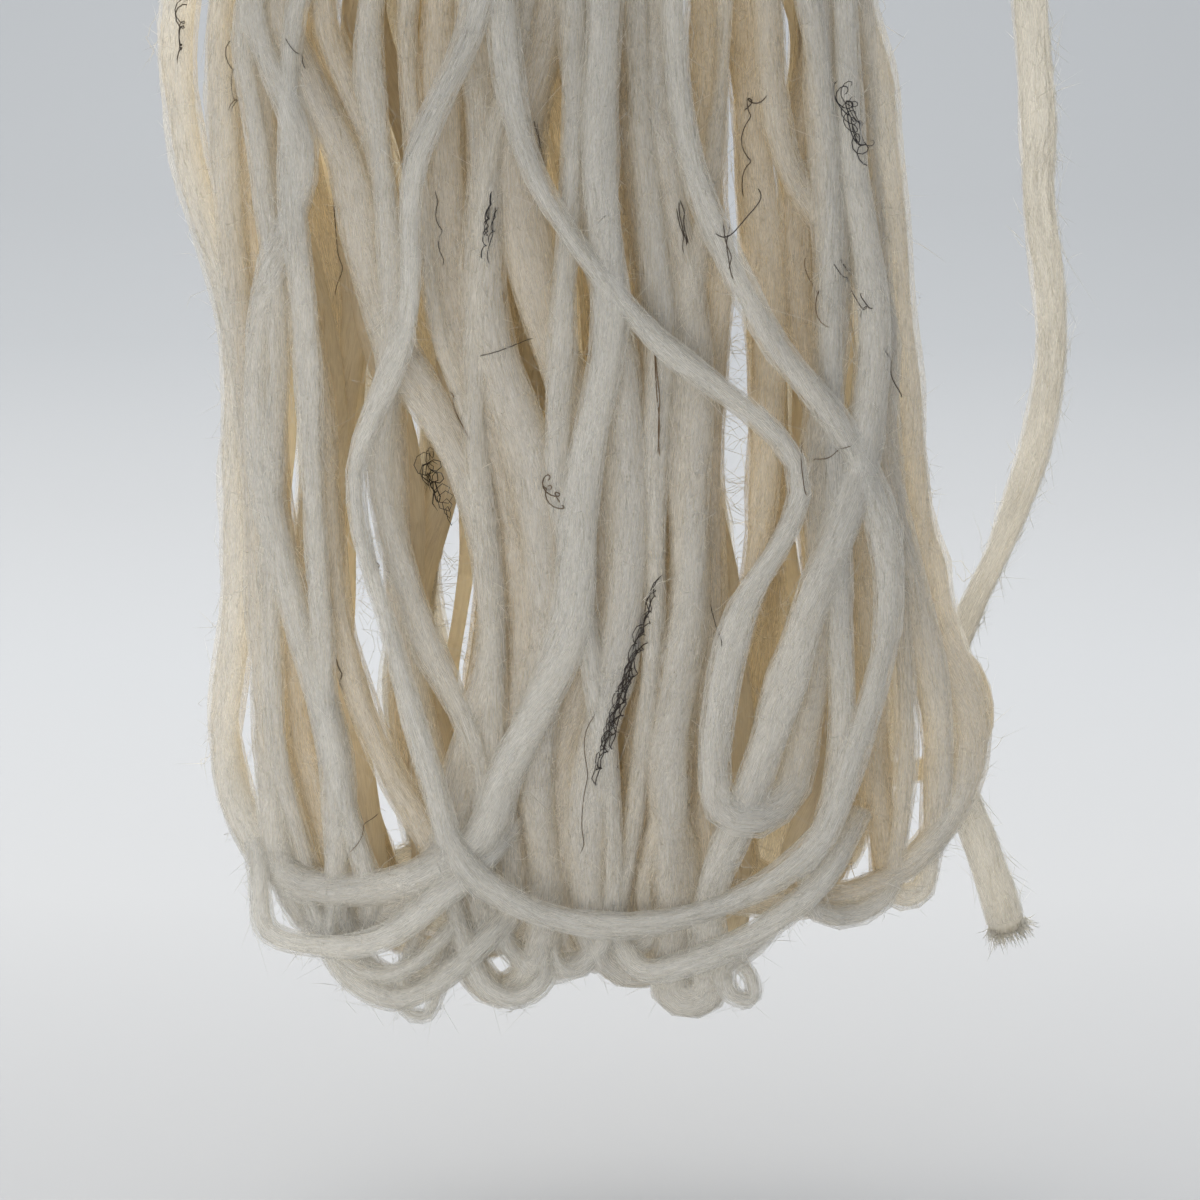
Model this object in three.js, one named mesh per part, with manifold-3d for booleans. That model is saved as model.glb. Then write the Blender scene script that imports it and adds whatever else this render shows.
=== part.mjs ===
// A hanging hank of fluffy single-ply wool yarn, loose turns over an open eye.
// Millimetres, +Z up, the front faces -Y. The origin is where a peg carries the crown.
import * as THREE from "three";
import { mergeVertices } from "three/addons/utils/BufferGeometryUtils.js";
import Module from "manifold-3d";

const wasm = await Module();
wasm.setup();

// Driving dimensions
const YARN = 4.4;
const BACK_YARN = 5;
const BACK_LEGS = 14;
const LOOSE_YARN = 3.2;
const CUT_END_YARN = 4.6;
const CUT_END_LENGTH = 26;
const CUT_END_TAPER = 12;
const LOOP_YARN = 2.4;
const EYE_RADIUS = 12;
const LAYER_PITCH = 3.2;
const CROWN_LAYERS = 3;
const CROWN_CENTRE = -5;
const CROWN_WIDTH = 60;
const SHOULDER_HEIGHT = -28;
const TOP_LEVEL = -43;
const LEVEL_DROP = 17;
const JOINT_GAP = 0.35;
const YARN_SIDES = 5;
const CORD_SIDES = 8;
const CORD_STEP = 6;
const CORE_SIDES = 16;
const SLIT_SIDES = 8;
const CORE_TOP = -31;
const CORE_BOTTOM = -150;
const CORE_UNDER_FACE = 6;
const CORE_INSIDE_EDGE = 8.5;

// How wide and how deep the whole hank is, a row for each level down from the crown.
const SECTIONS = [
  { left: -49, right: 31, deep: 15 },
  { left: -48, right: 33, deep: 18 },
  { left: -44, right: 36, deep: 20 },
  { left: -43.5, right: 39, deep: 21 },
  { left: -44.5, right: 42, deep: 21 },
  { left: -46, right: 43, deep: 19 },
  { left: -40, right: 40, deep: 15 },
  { left: -28, right: 24, deep: 10 },
];

// Front turns: each hangs as a left leg and a right leg joined at a foot. A leg is given by its
// x at each level, and depth is how many yarns it lies behind the face, left leg then right leg.
const FRONT_TURNS = [
  { left: [-47, -46.5, -42, -41.5, -42, -44], right: [0.5, 0, 1, -2, -3.5, -10.5],
    foot: [-33, -144.5], depth: [0.6, 0] },
  { left: [-13, -20, -21, -27, -23.5, -19], right: [8, 10, 17.5, 29.5, 32.5, 28.5],
    foot: [2, -146.5], depth: [-0.4, 0.2] },
  { left: [-10.5, -7.5, 4.5, 22, 15, 13], right: [24, 25, 26, 24.5, 25, 22.5],
    foot: [17, -134], depth: [0.2, 1.2] },
  { left: [6, 7, 10, 10, 10, 7.5, 9], right: [27, 28, 30.5, 29, 23, 18, 12.5],
    foot: [10.5, -157.5], depth: [1, 0] },
  { left: [24, 22.5, 22.5, 27, 30.5, 32, 34.5], right: [18.5, 20.5, 31.5, 31.5, 36, 39.5, 39],
    foot: [36.5, -148], depth: [2, 1] },
  { left: [-42, -42, -41, -39.5, -39, -38.5], right: [-35, -28, -24, -16, -13.5, -16.5],
    foot: [-33, -150], depth: [0.8, 1] },
  { left: [-38, -32.5, -38, -38, -34.5, -30, -30.5], right: [-30.5, -24.5, -23, -22.5, -20.5, -17.5, -14.5],
    foot: [-24, -157], depth: [0.2, 1.2] },
  { left: [-37, -37, -33.5, -31, -30, -25, -16.5], right: [-14, -12.5, -12.5, -7.5, -6, -7.5, -6],
    foot: [-11.5, -157.5], depth: [1.2, 1] },
  { left: [-3, -1, 1.5, 3, 2.5, -1, -1.5], right: [16.5, 17, 19, 18.5, 16.5, 11.5, 10],
    foot: [4.5, -154.5], depth: [0.8, 2] },
  { left: [11.5, 12, 13, 12, 12, 12, 14], right: [28.5, 31.5, 33, 35.5, 38.5, 44],
    foot: [26, -147], depth: [1.8, 1.6] },
];

// Slits that show daylight right through: middle and half size of each.
const SLITS = [
  { x: -17, z: -117, wide: 2.6, high: 14 },
  { x: 15.5, z: -97, wide: 1.9, high: 9 },
  { x: 16, z: -116, wide: 1.2, high: 8 },
  { x: -27.5, z: -112, wide: 1.2, high: 12 },
  { x: -37, z: -123, wide: 1.2, high: 8 },
];

// The loose strand bows out from the right end of the crown, passes behind the edge and ends
// below it in a blunt cut, thicker than the rest.
const LOOSE_ROOT = [[14, 1, 4.5], [21, 2, 3.5]];
const LOOSE_ROUTE = [
  [27, 3, 0], [33, 4, -5], [39.5, 5, -13], [44.5, 6, -23], [48, 6, -34], [49.5, 6, -45], [50.5, 6, -56],
  [51, 6, -66], [52.5, 6, -76], [53, 6, -84], [52, 6, -92], [50.3, 6, -99.5], [47.6, 6, -107],
  [44.4, 6, -114.5], [41.8, 6, -122], [41.2, 6, -129.5], [43, 6, -136], [45.6, 5.6, -142.5],
  [47.8, 4.8, -148.5], [49.6, 4, -154],
];

// A small loop of the yarn stands out behind the right edge.
const EDGE_LOOP = [
  [36, 0, -117], [40.5, 0.3, -118.2], [43.8, 0.5, -120.6], [45.4, 0.5, -125], [45, 0.5, -129.3],
  [42.4, 0.3, -132], [38, 0, -133],
];

// Catmull-Rom curve through the points, each [x, y, z].
function curveThrough(points) {
  const vectors = points.map(([x, y, z]) => new THREE.Vector3(x, y, z));
  return new THREE.CatmullRomCurve3(vectors, false, "centripetal");
}

// A closed tube through rings, each a centre, a direction and a radius.
function tubeOf(rings, sides) {
  const positions = [];
  const normal = new THREE.Vector3(0, 1, 0.01);
  for (const { centre, direction, radius } of rings) {
    normal.addScaledVector(direction, -normal.dot(direction)).normalize();
    const across = new THREE.Vector3().crossVectors(direction, normal);
    for (let j = 0; j < sides; j++) {
      const angle = (2 * Math.PI * j) / sides;
      const point = centre.clone();
      point.addScaledVector(normal, radius * Math.cos(angle));
      point.addScaledVector(across, radius * Math.sin(angle));
      positions.push(point.x, point.y, point.z);
    }
  }
  return { positions, triangles: tubeTriangles(rings.length - 1, sides) };
}

// Side walls and both end caps of a tube of rings, facing out.
function tubeTriangles(steps, sides) {
  const triangles = [];
  for (let i = 0; i < steps; i++) {
    for (let j = 0; j < sides; j++) {
      const a = i * sides + j;
      const b = i * sides + ((j + 1) % sides);
      triangles.push(a, b, b + sides, a, b + sides, a + sides);
    }
  }
  const last = steps * sides;
  for (let j = 1; j < sides - 1; j++) {
    triangles.push(0, j + 1, j, last, last + j, last + j + 1);
  }
  return triangles;
}

function solidOf({ positions, triangles }) {
  const mesh = new wasm.Mesh({
    numProp: 3,
    vertProperties: new Float32Array(positions),
    triVerts: new Uint32Array(triangles),
  });
  return new wasm.Manifold(mesh);
}

// Thick-and-thin radius along a leg, different for each leg.
function unevenRadius(leg, ring, thickness) {
  const swell = Math.sin(1.1 * ring + 2.4 * leg) + 0.6 * Math.sin(2.3 * ring + 1.7 * leg);
  return (thickness / 2) * (1 + 0.1 * swell);
}

function levelHeight(level) {
  return TOP_LEVEL - LEVEL_DROP * level;
}

// Values of a section at any height, between the rows of the table.
function sectionAt(z) {
  const level = Math.min(Math.max((TOP_LEVEL - z) / LEVEL_DROP, 0), SECTIONS.length - 1.001);
  const row = Math.floor(level);
  const mix = level - row;
  const between = (name) => SECTIONS[row][name] * (1 - mix) + SECTIONS[row + 1][name] * mix;
  return { left: between("left"), right: between("right"), deep: between("deep") };
}

// How far a leg stands out from the middle plane at a place, under a given number of yarns.
function faceDepth(x, z, under) {
  const { left, right, deep } = sectionAt(z);
  const across = (x - (left + right) / 2) / ((right - left) / 2);
  const round = Math.sqrt(Math.max(1 - across * across, 0.06));
  return Math.max(deep * round - under * LAYER_PITCH, 1.5);
}

// Keeps a leg out of the slits.
function clearOfSlits(x, z) {
  let moved = x;
  for (const slit of SLITS) {
    const away = Math.abs((z - slit.z) / slit.high);
    const need = (slit.wide + YARN / 2) * Math.sqrt(Math.max(1 - away * away, 0));
    const side = moved < slit.x ? -1 : 1;
    moved = Math.abs(moved - slit.x) < need ? slit.x + side * need : moved;
  }
  return moved;
}

// A leg from the top of the crown down one face (-1 front, 1 back) and round to its foot.
function legPoints({ xs, crownX, layer, under, face, foot, toward }) {
  const radius = EYE_RADIUS + YARN / 2 + layer * LAYER_PITCH;
  const points = [];
  for (const angle of [100, 68, 36, 4]) {
    const a = THREE.MathUtils.degToRad(angle);
    points.push([crownX, face * radius * Math.cos(a), -EYE_RADIUS + radius * Math.sin(a)]);
  }
  const shoulderOut = (radius + faceDepth(xs[0], TOP_LEVEL, under)) / 2;
  points.push([(xs[0] + crownX) / 2, face * shoulderOut, SHOULDER_HEIGHT]);
  xs.forEach((x, level) => {
    const z = levelHeight(level);
    points.push([x, face * faceDepth(x, z, under), z]);
  });
  const [lastX, lastY, lastZ] = points[points.length - 1];
  const [footX, footY, footZ] = foot;
  for (const angle of [35, 65, 90]) {
    const a = THREE.MathUtils.degToRad(angle);
    const [down, over] = [Math.sin(a), Math.cos(a)];
    const level = lastZ + (footZ - lastZ) * down;
    points.push([footX + (lastX - footX) * over, footY + (lastY - footY) * over, level]);
  }
  points.push([footX + toward * YARN * 0.4, footY, footZ + 0.2]);
  return points;
}

function yarnLeg(leg, number) {
  const centres = legPoints(leg).map(([x, y, z]) => new THREE.Vector3(x, y, z));
  const rings = centres.map((centre, i) => {
    const before = centres[Math.max(i - 1, 0)];
    const after = centres[Math.min(i + 1, centres.length - 1)];
    const direction = new THREE.Vector3().subVectors(after, before).normalize();
    return { centre, direction, radius: unevenRadius(number, i, leg.thick) };
  });
  return solidOf(tubeOf(rings, YARN_SIDES));
}

// Where the legs of one face cross the crown, spread evenly in the order in which they hang.
function placeOnCrown(legs) {
  const order = [...legs].sort((a, b) => a.xs[0] - b.xs[0]);
  order.forEach((leg, rank) => {
    leg.crownX = CROWN_CENTRE + CROWN_WIDTH * ((rank + 0.5) / order.length - 0.5);
    leg.layer = (2 * rank) % CROWN_LAYERS;
  });
  return legs;
}

function frontLegs() {
  const legs = FRONT_TURNS.flatMap(({ left, right, foot: [footX, footZ], depth }) => {
    const foot = [footX, -faceDepth(footX, footZ, (depth[0] + depth[1]) / 2 - 0.5), footZ];
    return [
      { xs: left, under: depth[0], face: -1, foot, toward: 1, thick: YARN },
      { xs: right, under: depth[1], face: -1, foot, toward: -1, thick: YARN },
    ];
  });
  return placeOnCrown(legs);
}

// The back legs wander down from the crown on their own, in two depths.
function backLegs() {
  const legs = Array.from({ length: BACK_LEGS }, (_, k) => {
    const across = (k + 0.5) / BACK_LEGS;
    const xs = SECTIONS.slice(0, 7).map(({ left, right }, level) => {
      const even = left + BACK_YARN + (right - left - 2.4 * BACK_YARN) * across;
      const sway = 2.6 * Math.sin(2.3 * k + 0.8 * level) + 2.2 * Math.sin(4.1 * k - 1.1 * level);
      return clearOfSlits(Math.min(Math.max(even + sway, left + 3), right - 7), levelHeight(level));
    });
    return { xs, under: (k % 2) * 0.9, face: 1, thick: BACK_YARN };
  });
  return placeOnCrown(legs.map((leg, k) => ({ ...leg, ...backFoot(k, legs) })));
}

// Each back leg shares its foot with the one three places along.
function backFoot(k, legs) {
  const pair = Math.floor(k / 6) * 3 + (k % 3);
  const isFirst = k % 6 < 3;
  const partner = legs[Math.min(isFirst ? k + 3 : k - 3, legs.length - 1)];
  const low = partner.xs.length - 1;
  const footX = (legs[k].xs[low] + partner.xs[low]) / 2;
  const footZ = -153 - 3.5 * Math.sin(1.9 * pair) + 0.004 * footX * footX;
  return { foot: [footX, 8 + 3 * Math.sin(2.7 * pair), footZ], toward: isFirst ? 1 : -1 };
}

// A solid of stacked rings, each a list of [x, y, z] corners, listed from its low end up.
function loftOf(rings) {
  return solidOf({ positions: rings.flat(2), triangles: tubeTriangles(rings.length - 1, rings[0].length) });
}

// The inner turns lie close together as one core, oval like the whole hank and rounded at both ends.
function coreOfTurns() {
  const rows = [{ z: CORE_TOP, share: 0.5 }, { z: (CORE_TOP + TOP_LEVEL) / 2, share: 0.85 }];
  for (let level = 0; level < SECTIONS.length - 1; level++) {
    rows.push({ z: levelHeight(level), share: 1 });
  }
  rows.push({ z: CORE_BOTTOM, share: 0.6 });
  const ovals = rows.reverse().map(({ z, share }) => {
    const { left, right, deep } = sectionAt(z);
    const halfWide = ((right - left) / 2 - CORE_INSIDE_EDGE) * share;
    const halfDeep = (deep - CORE_UNDER_FACE) * share;
    return Array.from({ length: CORE_SIDES }, (_, j) => {
      const angle = (2 * Math.PI * j) / CORE_SIDES;
      return [(left + right) / 2 + halfWide * Math.cos(angle), halfDeep * Math.sin(angle), z];
    });
  });
  return SLITS.map(slitThrough).reduce((core, slit) => core.subtract(slit), loftOf(ovals));
}

// The daylight of one slit, an upright oval from front to back.
function slitThrough({ x, z, wide, high }) {
  const reach = 40;
  const ovals = [-reach, reach].map((y) =>
    Array.from({ length: SLIT_SIDES }, (_, j) => {
      const angle = (2 * Math.PI * j) / SLIT_SIDES;
      return [x + wide * Math.sin(angle), y, z + high * Math.cos(angle)];
    }),
  );
  return loftOf(ovals);
}

// The stretch of a curve between two shares of its length, as a tube with square ends.
function stretch(curve, from, to, thicknessAt) {
  const length = curve.getLength();
  const steps = Math.max(Math.round(((to - from) * length) / CORD_STEP), 2);
  const rings = Array.from({ length: steps + 1 }, (_, i) => {
    const share = from + ((to - from) * i) / steps;
    const centre = curve.getPointAt(share);
    return { centre, direction: curve.getTangentAt(share), radius: thicknessAt((1 - share) * length) / 2 };
  });
  return tubeOf(rings, CORD_SIDES);
}

// Thickness of the loose strand at a distance before its cut end.
function looseThickness(beforeEnd) {
  const swell = 1 - THREE.MathUtils.smoothstep(beforeEnd, CUT_END_LENGTH, CUT_END_LENGTH + CUT_END_TAPER);
  return LOOSE_YARN + (CUT_END_YARN - LOOSE_YARN) * swell;
}

// The share of a curve's length that lies before one of its points.
function shareAt(curve, index) {
  const divisions = 400;
  const lengths = curve.getLengths(divisions);
  return lengths[Math.round((divisions * index) / (curve.points.length - 1))] / lengths[divisions];
}

// Only the outer skin is kept, because the turns close off small hollows between them.
function outerSkin(solid) {
  return solid.decompose().reduce((a, b) => (b.volume() > a.volume() ? b : a));
}

const looseCurve = curveThrough([...LOOSE_ROOT, ...LOOSE_ROUTE]);
const looseStart = shareAt(looseCurve, LOOSE_ROOT.length);
const looseFree = looseStart + JOINT_GAP / looseCurve.getLength();

function hankSolid() {
  const legs = [...frontLegs(), ...backLegs()].map(yarnLeg);
  const root = solidOf(stretch(looseCurve, 0, looseStart, looseThickness));
  const loop = solidOf(stretch(curveThrough(EDGE_LOOP), 0, 1, () => LOOP_YARN));
  const joined = [...legs, coreOfTurns(), root, loop].reduce((whole, piece) => whole.add(piece));
  return outerSkin(joined.simplify(0.05));
}

function geometryOfSolid(solid) {
  const { vertProperties, triVerts } = solid.getMesh();
  const geometry = new THREE.BufferGeometry();
  geometry.setAttribute("position", new THREE.BufferAttribute(vertProperties, 3));
  geometry.setIndex(new THREE.BufferAttribute(triVerts, 1));
  return geometry;
}

function geometryOfSweep({ positions, triangles }) {
  const geometry = new THREE.BufferGeometry();
  geometry.setAttribute("position", new THREE.Float32BufferAttribute(positions, 3));
  geometry.setIndex(triangles);
  return mergeVertices(geometry);
}

function woolMaterial(colour) {
  return new THREE.MeshStandardMaterial({ color: colour, roughness: 0.95, metalness: 0 });
}

function namedMesh(name, geometry, colour) {
  const mesh = new THREE.Mesh(geometry, woolMaterial(colour));
  mesh.name = name;
  geometry.computeVertexNormals();
  return mesh;
}

const WOOL = "#d8cfbd";
const group = new THREE.Group();
group.add(namedMesh("hank", geometryOfSolid(hankSolid()), WOOL));
const looseTube = stretch(looseCurve, looseFree, 1, looseThickness);
group.add(namedMesh("loose_strand", geometryOfSweep(looseTube), WOOL));

export default group;
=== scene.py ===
# %% [markdown]
# # A hanging hank of fluffy yarn
# The real object is one long, soft, single-ply yarn, wound into loose turns and hung from the
# top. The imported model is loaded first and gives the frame: every piece below is built in the
# same place, in metres, so nothing has to be fitted afterwards.

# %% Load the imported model
import math

import bpy
import numpy as np
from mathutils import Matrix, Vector
from mathutils.bvhtree import BVHTree


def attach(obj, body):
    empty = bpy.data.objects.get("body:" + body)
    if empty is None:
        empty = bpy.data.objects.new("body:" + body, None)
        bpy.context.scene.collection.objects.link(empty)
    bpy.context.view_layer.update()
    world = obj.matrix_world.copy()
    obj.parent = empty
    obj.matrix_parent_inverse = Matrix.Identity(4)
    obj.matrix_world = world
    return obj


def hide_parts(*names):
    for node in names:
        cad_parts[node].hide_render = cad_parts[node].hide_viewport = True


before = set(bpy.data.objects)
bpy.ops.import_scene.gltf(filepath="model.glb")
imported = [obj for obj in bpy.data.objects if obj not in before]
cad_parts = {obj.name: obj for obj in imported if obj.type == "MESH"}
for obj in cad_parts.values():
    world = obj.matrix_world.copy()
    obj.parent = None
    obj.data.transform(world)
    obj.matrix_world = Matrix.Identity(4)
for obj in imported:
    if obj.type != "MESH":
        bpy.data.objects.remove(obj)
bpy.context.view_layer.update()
MM = 0.001


# %% [markdown]
# ## The camera
# The photograph looks slightly down on the hank through a long lens, so the turns hardly
# converge. The camera is placed by the distance and the downward angle that fit this.

# %% Place the camera
LENS = 95.25
SENSOR = 36.0
CAMERA_DISTANCE = 373 * MM
CAMERA_DOWN = math.radians(12.5)
LOOK_AT = Vector((0, 0, -112.3 * MM))

camera_data = bpy.data.cameras.new("photo_camera")
camera_data.lens = LENS
camera_data.sensor_width = SENSOR
camera = bpy.data.objects.new("photo_camera", camera_data)
bpy.context.collection.objects.link(camera)
backward = Vector((0, -math.cos(CAMERA_DOWN), math.sin(CAMERA_DOWN)))
camera.location = LOOK_AT + backward * CAMERA_DISTANCE
camera.rotation_euler = (math.pi / 2 - CAMERA_DOWN, 0, 0)
bpy.context.scene.camera = camera
print("camera at", [round(v, 3) for v in camera.location])

# %% [markdown]
# ## Sizes of the hank
# These sizes repeat the solids' own, in millimetres: the yarn, the eye under the crown, and how
# wide and deep the hank is at eight levels on the way down.

# %% Sizes
YARN = 4.2
EYE_RADIUS = 12.0
LAYER_PITCH = 3.2
CROWN_LAYERS = 3
CROWN_CENTRE = -5.0
CROWN_WIDTH = 60.0
SHOULDER_HEIGHT = -28.0
TOP_LEVEL = -43.0
LEVEL_DROP = 17.0

SECTION_LEFT = [-49, -48, -44, -43.5, -44.5, -46, -40, -28]
SECTION_RIGHT = [31, 33, 36, 39, 42, 43, 40, 24]
SECTION_DEEP = [15, 18, 20, 21, 21, 19, 15, 10]
SECTIONS = (SECTION_LEFT, SECTION_RIGHT, SECTION_DEEP)
LEG_LEVELS = 7
print("the hank hangs", LEVEL_DROP * (len(SECTION_LEFT) - 1), "mm below its top level")

# %% [markdown]
# ## The turns in front
# A front turn hangs as two legs that meet at a foot. Each leg is given by its x at six or seven
# levels, the foot by its x and height. The depth says how many yarns each leg lies behind the
# hank's face, and the last list how thick the yarn is on its way down one leg and up the other.

# %% Table of the front turns
FRONT_TURNS = [
    {"left": [-47, -46.5, -42, -41.5, -42, -44], "right": [0.5, 0, 1, -2, -3.5, -10.5],
     "foot": [-33, -144.5], "depth": [0.6, 0], "thick": [3.7, 3.9, 4.4, 4.8, 3.9, 3.8]},
    {"left": [-13, -20, -21, -27, -23.5, -19], "right": [8, 10, 17.5, 29.5, 32.5, 28.5],
     "foot": [2, -146.5], "depth": [-0.8, -0.3], "thick": [2.9, 2.7, 2.9, 3.0, 2.7, 2.9]},
    {"left": [-10.5, -7.5, 4.5, 22, 15, 13], "right": [24, 25, 26, 24.5, 25, 22.5],
     "foot": [17, -134], "depth": [-0.4, 0.8], "thick": [5.0, 3.6, 2.6, 2.7, 4.2, 4.6, 4.6, 4.2]},
    {"left": [6, 7, 10, 10, 10, 7.5, 9], "right": [27, 28, 30.5, 29, 23, 18, 12.5],
     "foot": [10.5, -157.5], "depth": [1, 0], "thick": [3.8, 4.6, 4.9, 4.5, 4.1, 3.4]},
    {"left": [24, 22.5, 22.5, 27, 30.5, 32, 34.5], "right": [18.5, 20.5, 31.5, 31.5, 36, 39.5, 39],
     "foot": [36.5, -148], "depth": [2, 1], "thick": [3.4, 3.9, 4.2, 3.6, 3.3, 3.9]},
    {"left": [-42, -42, -41, -39.5, -39, -38.5], "right": [-35, -28, -24, -15, -12, -15.5],
     "foot": [-33, -150], "depth": [0.8, 1], "thick": [3.3, 3.8, 3.6, 4.0, 4.2, 3.9]},
    {"left": [-38, -32.5, -38, -38, -34.5, -30, -30.5],
     "right": [-30.5, -24.5, -23.5, -23, -22.3, -19.5, -14.5],
     "foot": [-24, -157], "depth": [0.2, 1.2], "thick": [3.5, 2.9, 3.2, 3.6, 3.4, 3.6]},
    {"left": [-37, -37, -33.5, -31, -30, -25, -16.5],
     "right": [-14, -12.5, -12.5, -7.5, -6, -7.5, -6],
     "foot": [-11.5, -157.5], "depth": [1.2, 1], "thick": [3.2, 3.7, 3.4, 4.8, 4.4, 3.6]},
    {"left": [-3, -1, 1.5, 3, 2.5, -1, -1.5], "right": [16.5, 17, 19, 18.5, 16.5, 11.5, 10],
     "foot": [4.5, -154.5], "depth": [0.8, 2], "thick": [3.6, 4.4, 4.5, 4.0, 4.9, 4.1]},
    {"left": [11.5, 12, 13, 12, 12, 12, 14], "right": [28.5, 31.5, 33, 35.5, 38.5, 44],
     "foot": [26, -147], "depth": [1.8, 1.6], "thick": [4.6, 3.8, 4.4, 3.9, 4.9, 4.3]},
    {"left": [-38.5, -39.5, -38.5, -37.5, -35.5, -34.5, -30.5],
     "right": [-17.5, -17, -15.5, -10.5, -8, -9, -7],
     "foot": [-19, -153], "depth": [2, 1.4], "thick": [3.7, 3.2, 3.6, 3.7, 4.5, 3.6]},
    {"left": [-5.5, -9, -6, 0, 0, -4.5, -4.5], "right": [4.5, 5, 6, 5.5, 6, 4.5, 3],
     "foot": [-1, -153], "depth": [1.5, 1.6], "thick": [4.7, 5.6, 4.6, 4.0, 5.0, 4.2]},
]
print(len(FRONT_TURNS), "front turns that show")

# %% [markdown]
# ## Slits that show daylight
# At a few places one sees right through the hank. A slit is given by its middle and by half its
# width and height, and the legs inside and behind keep out of it.

# %% Table of the slits
SLITS = [
    {"x": -17, "z": -115, "wide": 2.2, "high": 9},
    {"x": 15.8, "z": -90, "wide": 2.2, "high": 12},
    {"x": 17.5, "z": -111, "wide": 0.9, "high": 6},
    {"x": -27, "z": -108, "wide": 0.5, "high": 5},
    {"x": 24, "z": -122, "wide": 0.6, "high": 5},
]
print(len(SLITS), "slits, the widest", 2 * max(slit["wide"] for slit in SLITS), "mm")

# %% [markdown]
# ## Thin turns
# Hand-spun yarn is uneven, and between the thick turns hang a few thin ones. The solids leave
# them out.

# %% Table of the thin turns
THIN_TURNS = [
    {"left": [4, 5, 6.5, 6, 6, 4.5, 2.5], "right": [13.5, 12.5, 9.5, 8.5, 9.5, 8, 5],
     "foot": [3.5, -151], "depth": [0.7, 0.9], "thick": [2.6, 3.0, 2.7, 2.5, 2.8, 2.4]},
    {"left": [23, 25.5, 25.5, 26.2, 27, 27.3, 24],
     "right": [29, 30.5, 32.2, 33.3, 34.4, 35.6, 34.4],
     "foot": [29.3, -148.5], "depth": [0.2, 0.9], "thick": [2.4, 2.7, 2.9, 2.6, 2.9, 2.5]},
    {"left": [-38.9, -37.5, -36, -36.7, -37.5, -37.2, -34],
     "right": [-33, -34, -32.7, -32.2, -31.6, -30.2, -26.5],
     "foot": [-30.5, -152], "depth": [0.4, 0.1], "thick": [2.5, 2.8, 2.4, 2.7, 2.5, 2.8]},
    {"left": [-25, -24, -22.5, -24.5, -20.3, -13.5, -14],
     "right": [-8, -12, -13.5, -13.5, -12, -11.5, -10],
     "foot": [-16, -151.5], "depth": [0.6, 0.7], "thick": [2.8, 3.4, 3.2, 2.6, 2.4, 2.7]},
    {"left": [-21, -20, -18, -13, -12, -13, -12.5], "right": [-2.5, -3, -4, -4.5, -1.5, 1, 1.5],
     "foot": [-5.5, -154], "depth": [0.9, 0.4], "thick": [2.8, 2.5, 2.7, 2.9, 2.6, 2.4]},
]
print(len(THIN_TURNS), "thin turns")

# %% [markdown]
# ## Small loops
# At the bottom the thinnest bits of yarn curl into small loops in front of the feet. Each is a
# curve through a few points of its own, with both ends hidden between the turns.

# %% Table of the small loops
SMALL_LOOPS = [
    {"points": [[-40, -7, -140], [-39.5, -11, -144], [-38.4, -13.5, -148.5], [-31.6, -15.5, -149.7],
                [-24.8, -17.5, -148], [-18, -18.2, -142.8], [-13.5, -17.5, -139], [-9, -12, -134]],
     "thick": 3.0},
    {"points": [[-30, -7, -143], [-31.6, -12, -150.2], [-29.3, -13.5, -154.2],
                [-23.7, -14.5, -156.5], [-19.2, -14.5, -154.8], [-12.4, -13, -148.5],
                [-9, -8, -144]],
     "thick": 2.8},
    {"points": [[-20, -8, -148], [-23.1, -13, -154.8], [-22.6, -14, -157.9], [-20.3, -14.3, -158.6],
                [-19, -14, -156.5], [-17, -9, -150]],
     "thick": 1.7},
    {"points": [[-18, -9, -138], [-16.9, -13, -145.1], [-13.5, -14, -154.8], [-10.2, -14.2, -156.5],
                [-6.8, -13.5, -154.8], [-6.2, -11, -150.8], [-6.5, -7, -144]],
     "thick": 2.6},
    {"points": [[-4, -9, -148], [-5.1, -13, -152], [-3.2, -13.6, -153.6], [-1.1, -13, -152.2],
                [-1.5, -8, -147]],
     "thick": 1.6},
    {"points": [[22, -9, -146], [18.5, -12.5, -150], [14.5, -13.8, -153.3], [15.3, -14.2, -156],
                [17.6, -14, -156.6], [17.2, -13.4, -153.6], [12, -11.5, -150.5], [8, -8, -146]],
     "thick": 2.1},
    {"points": [[30, -8, -136], [26, -14, -142], [19.5, -16, -147], [11, -17, -151],
                [5, -16, -152.5], [1.5, -12, -149]],
     "thick": 2.6},
    {"points": [[-34, -9, -146], [-30, -14, -151.5], [-25.5, -15, -153.4], [-21, -15.5, -151.5],
                [-16, -13, -147]],
     "thick": 2.0},
]
print(len(SMALL_LOOPS), "small loops")

# %% [markdown]
# ## Where a leg hangs
# The helpers say how far the hank bulges at a height, how deep a leg lies behind its face, and
# how a leg keeps out of the slits. A whole leg stays on one side of a slit, or else it would
# cross it. The leg is eased back over some millimetres above and below the slit, and a leg that
# passes far beside it isn't moved.

# %% Helpers for the hank's form
SLIT_EASE = 6
SLIT_REACH = 12
SHALLOWEST = 1.5
FLATTEST = 0.06


def level_height(level):
    """The height of a level."""
    return TOP_LEVEL - LEVEL_DROP * level


def section_at(z):
    """How far left, right and forward the hank reaches at a height."""
    level = (TOP_LEVEL - z) / LEVEL_DROP
    rows = range(len(SECTION_LEFT))
    return [np.interp(level, rows, values) for values in SECTIONS]


def face_at(x, z):
    """How far the hank's face lies from its middle, at one place or at many."""
    left, right, deep = section_at(z)
    across = (x - (left + right) / 2) / ((right - left) / 2)
    return deep * np.sqrt(np.maximum(1 - across * across, FLATTEST))


def face_depth(x, z, under):
    """How far a leg lies from the hank's middle when it is so many yarns under the face."""
    return max(face_at(x, z) - under * LAYER_PITCH, SHALLOWEST)


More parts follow.
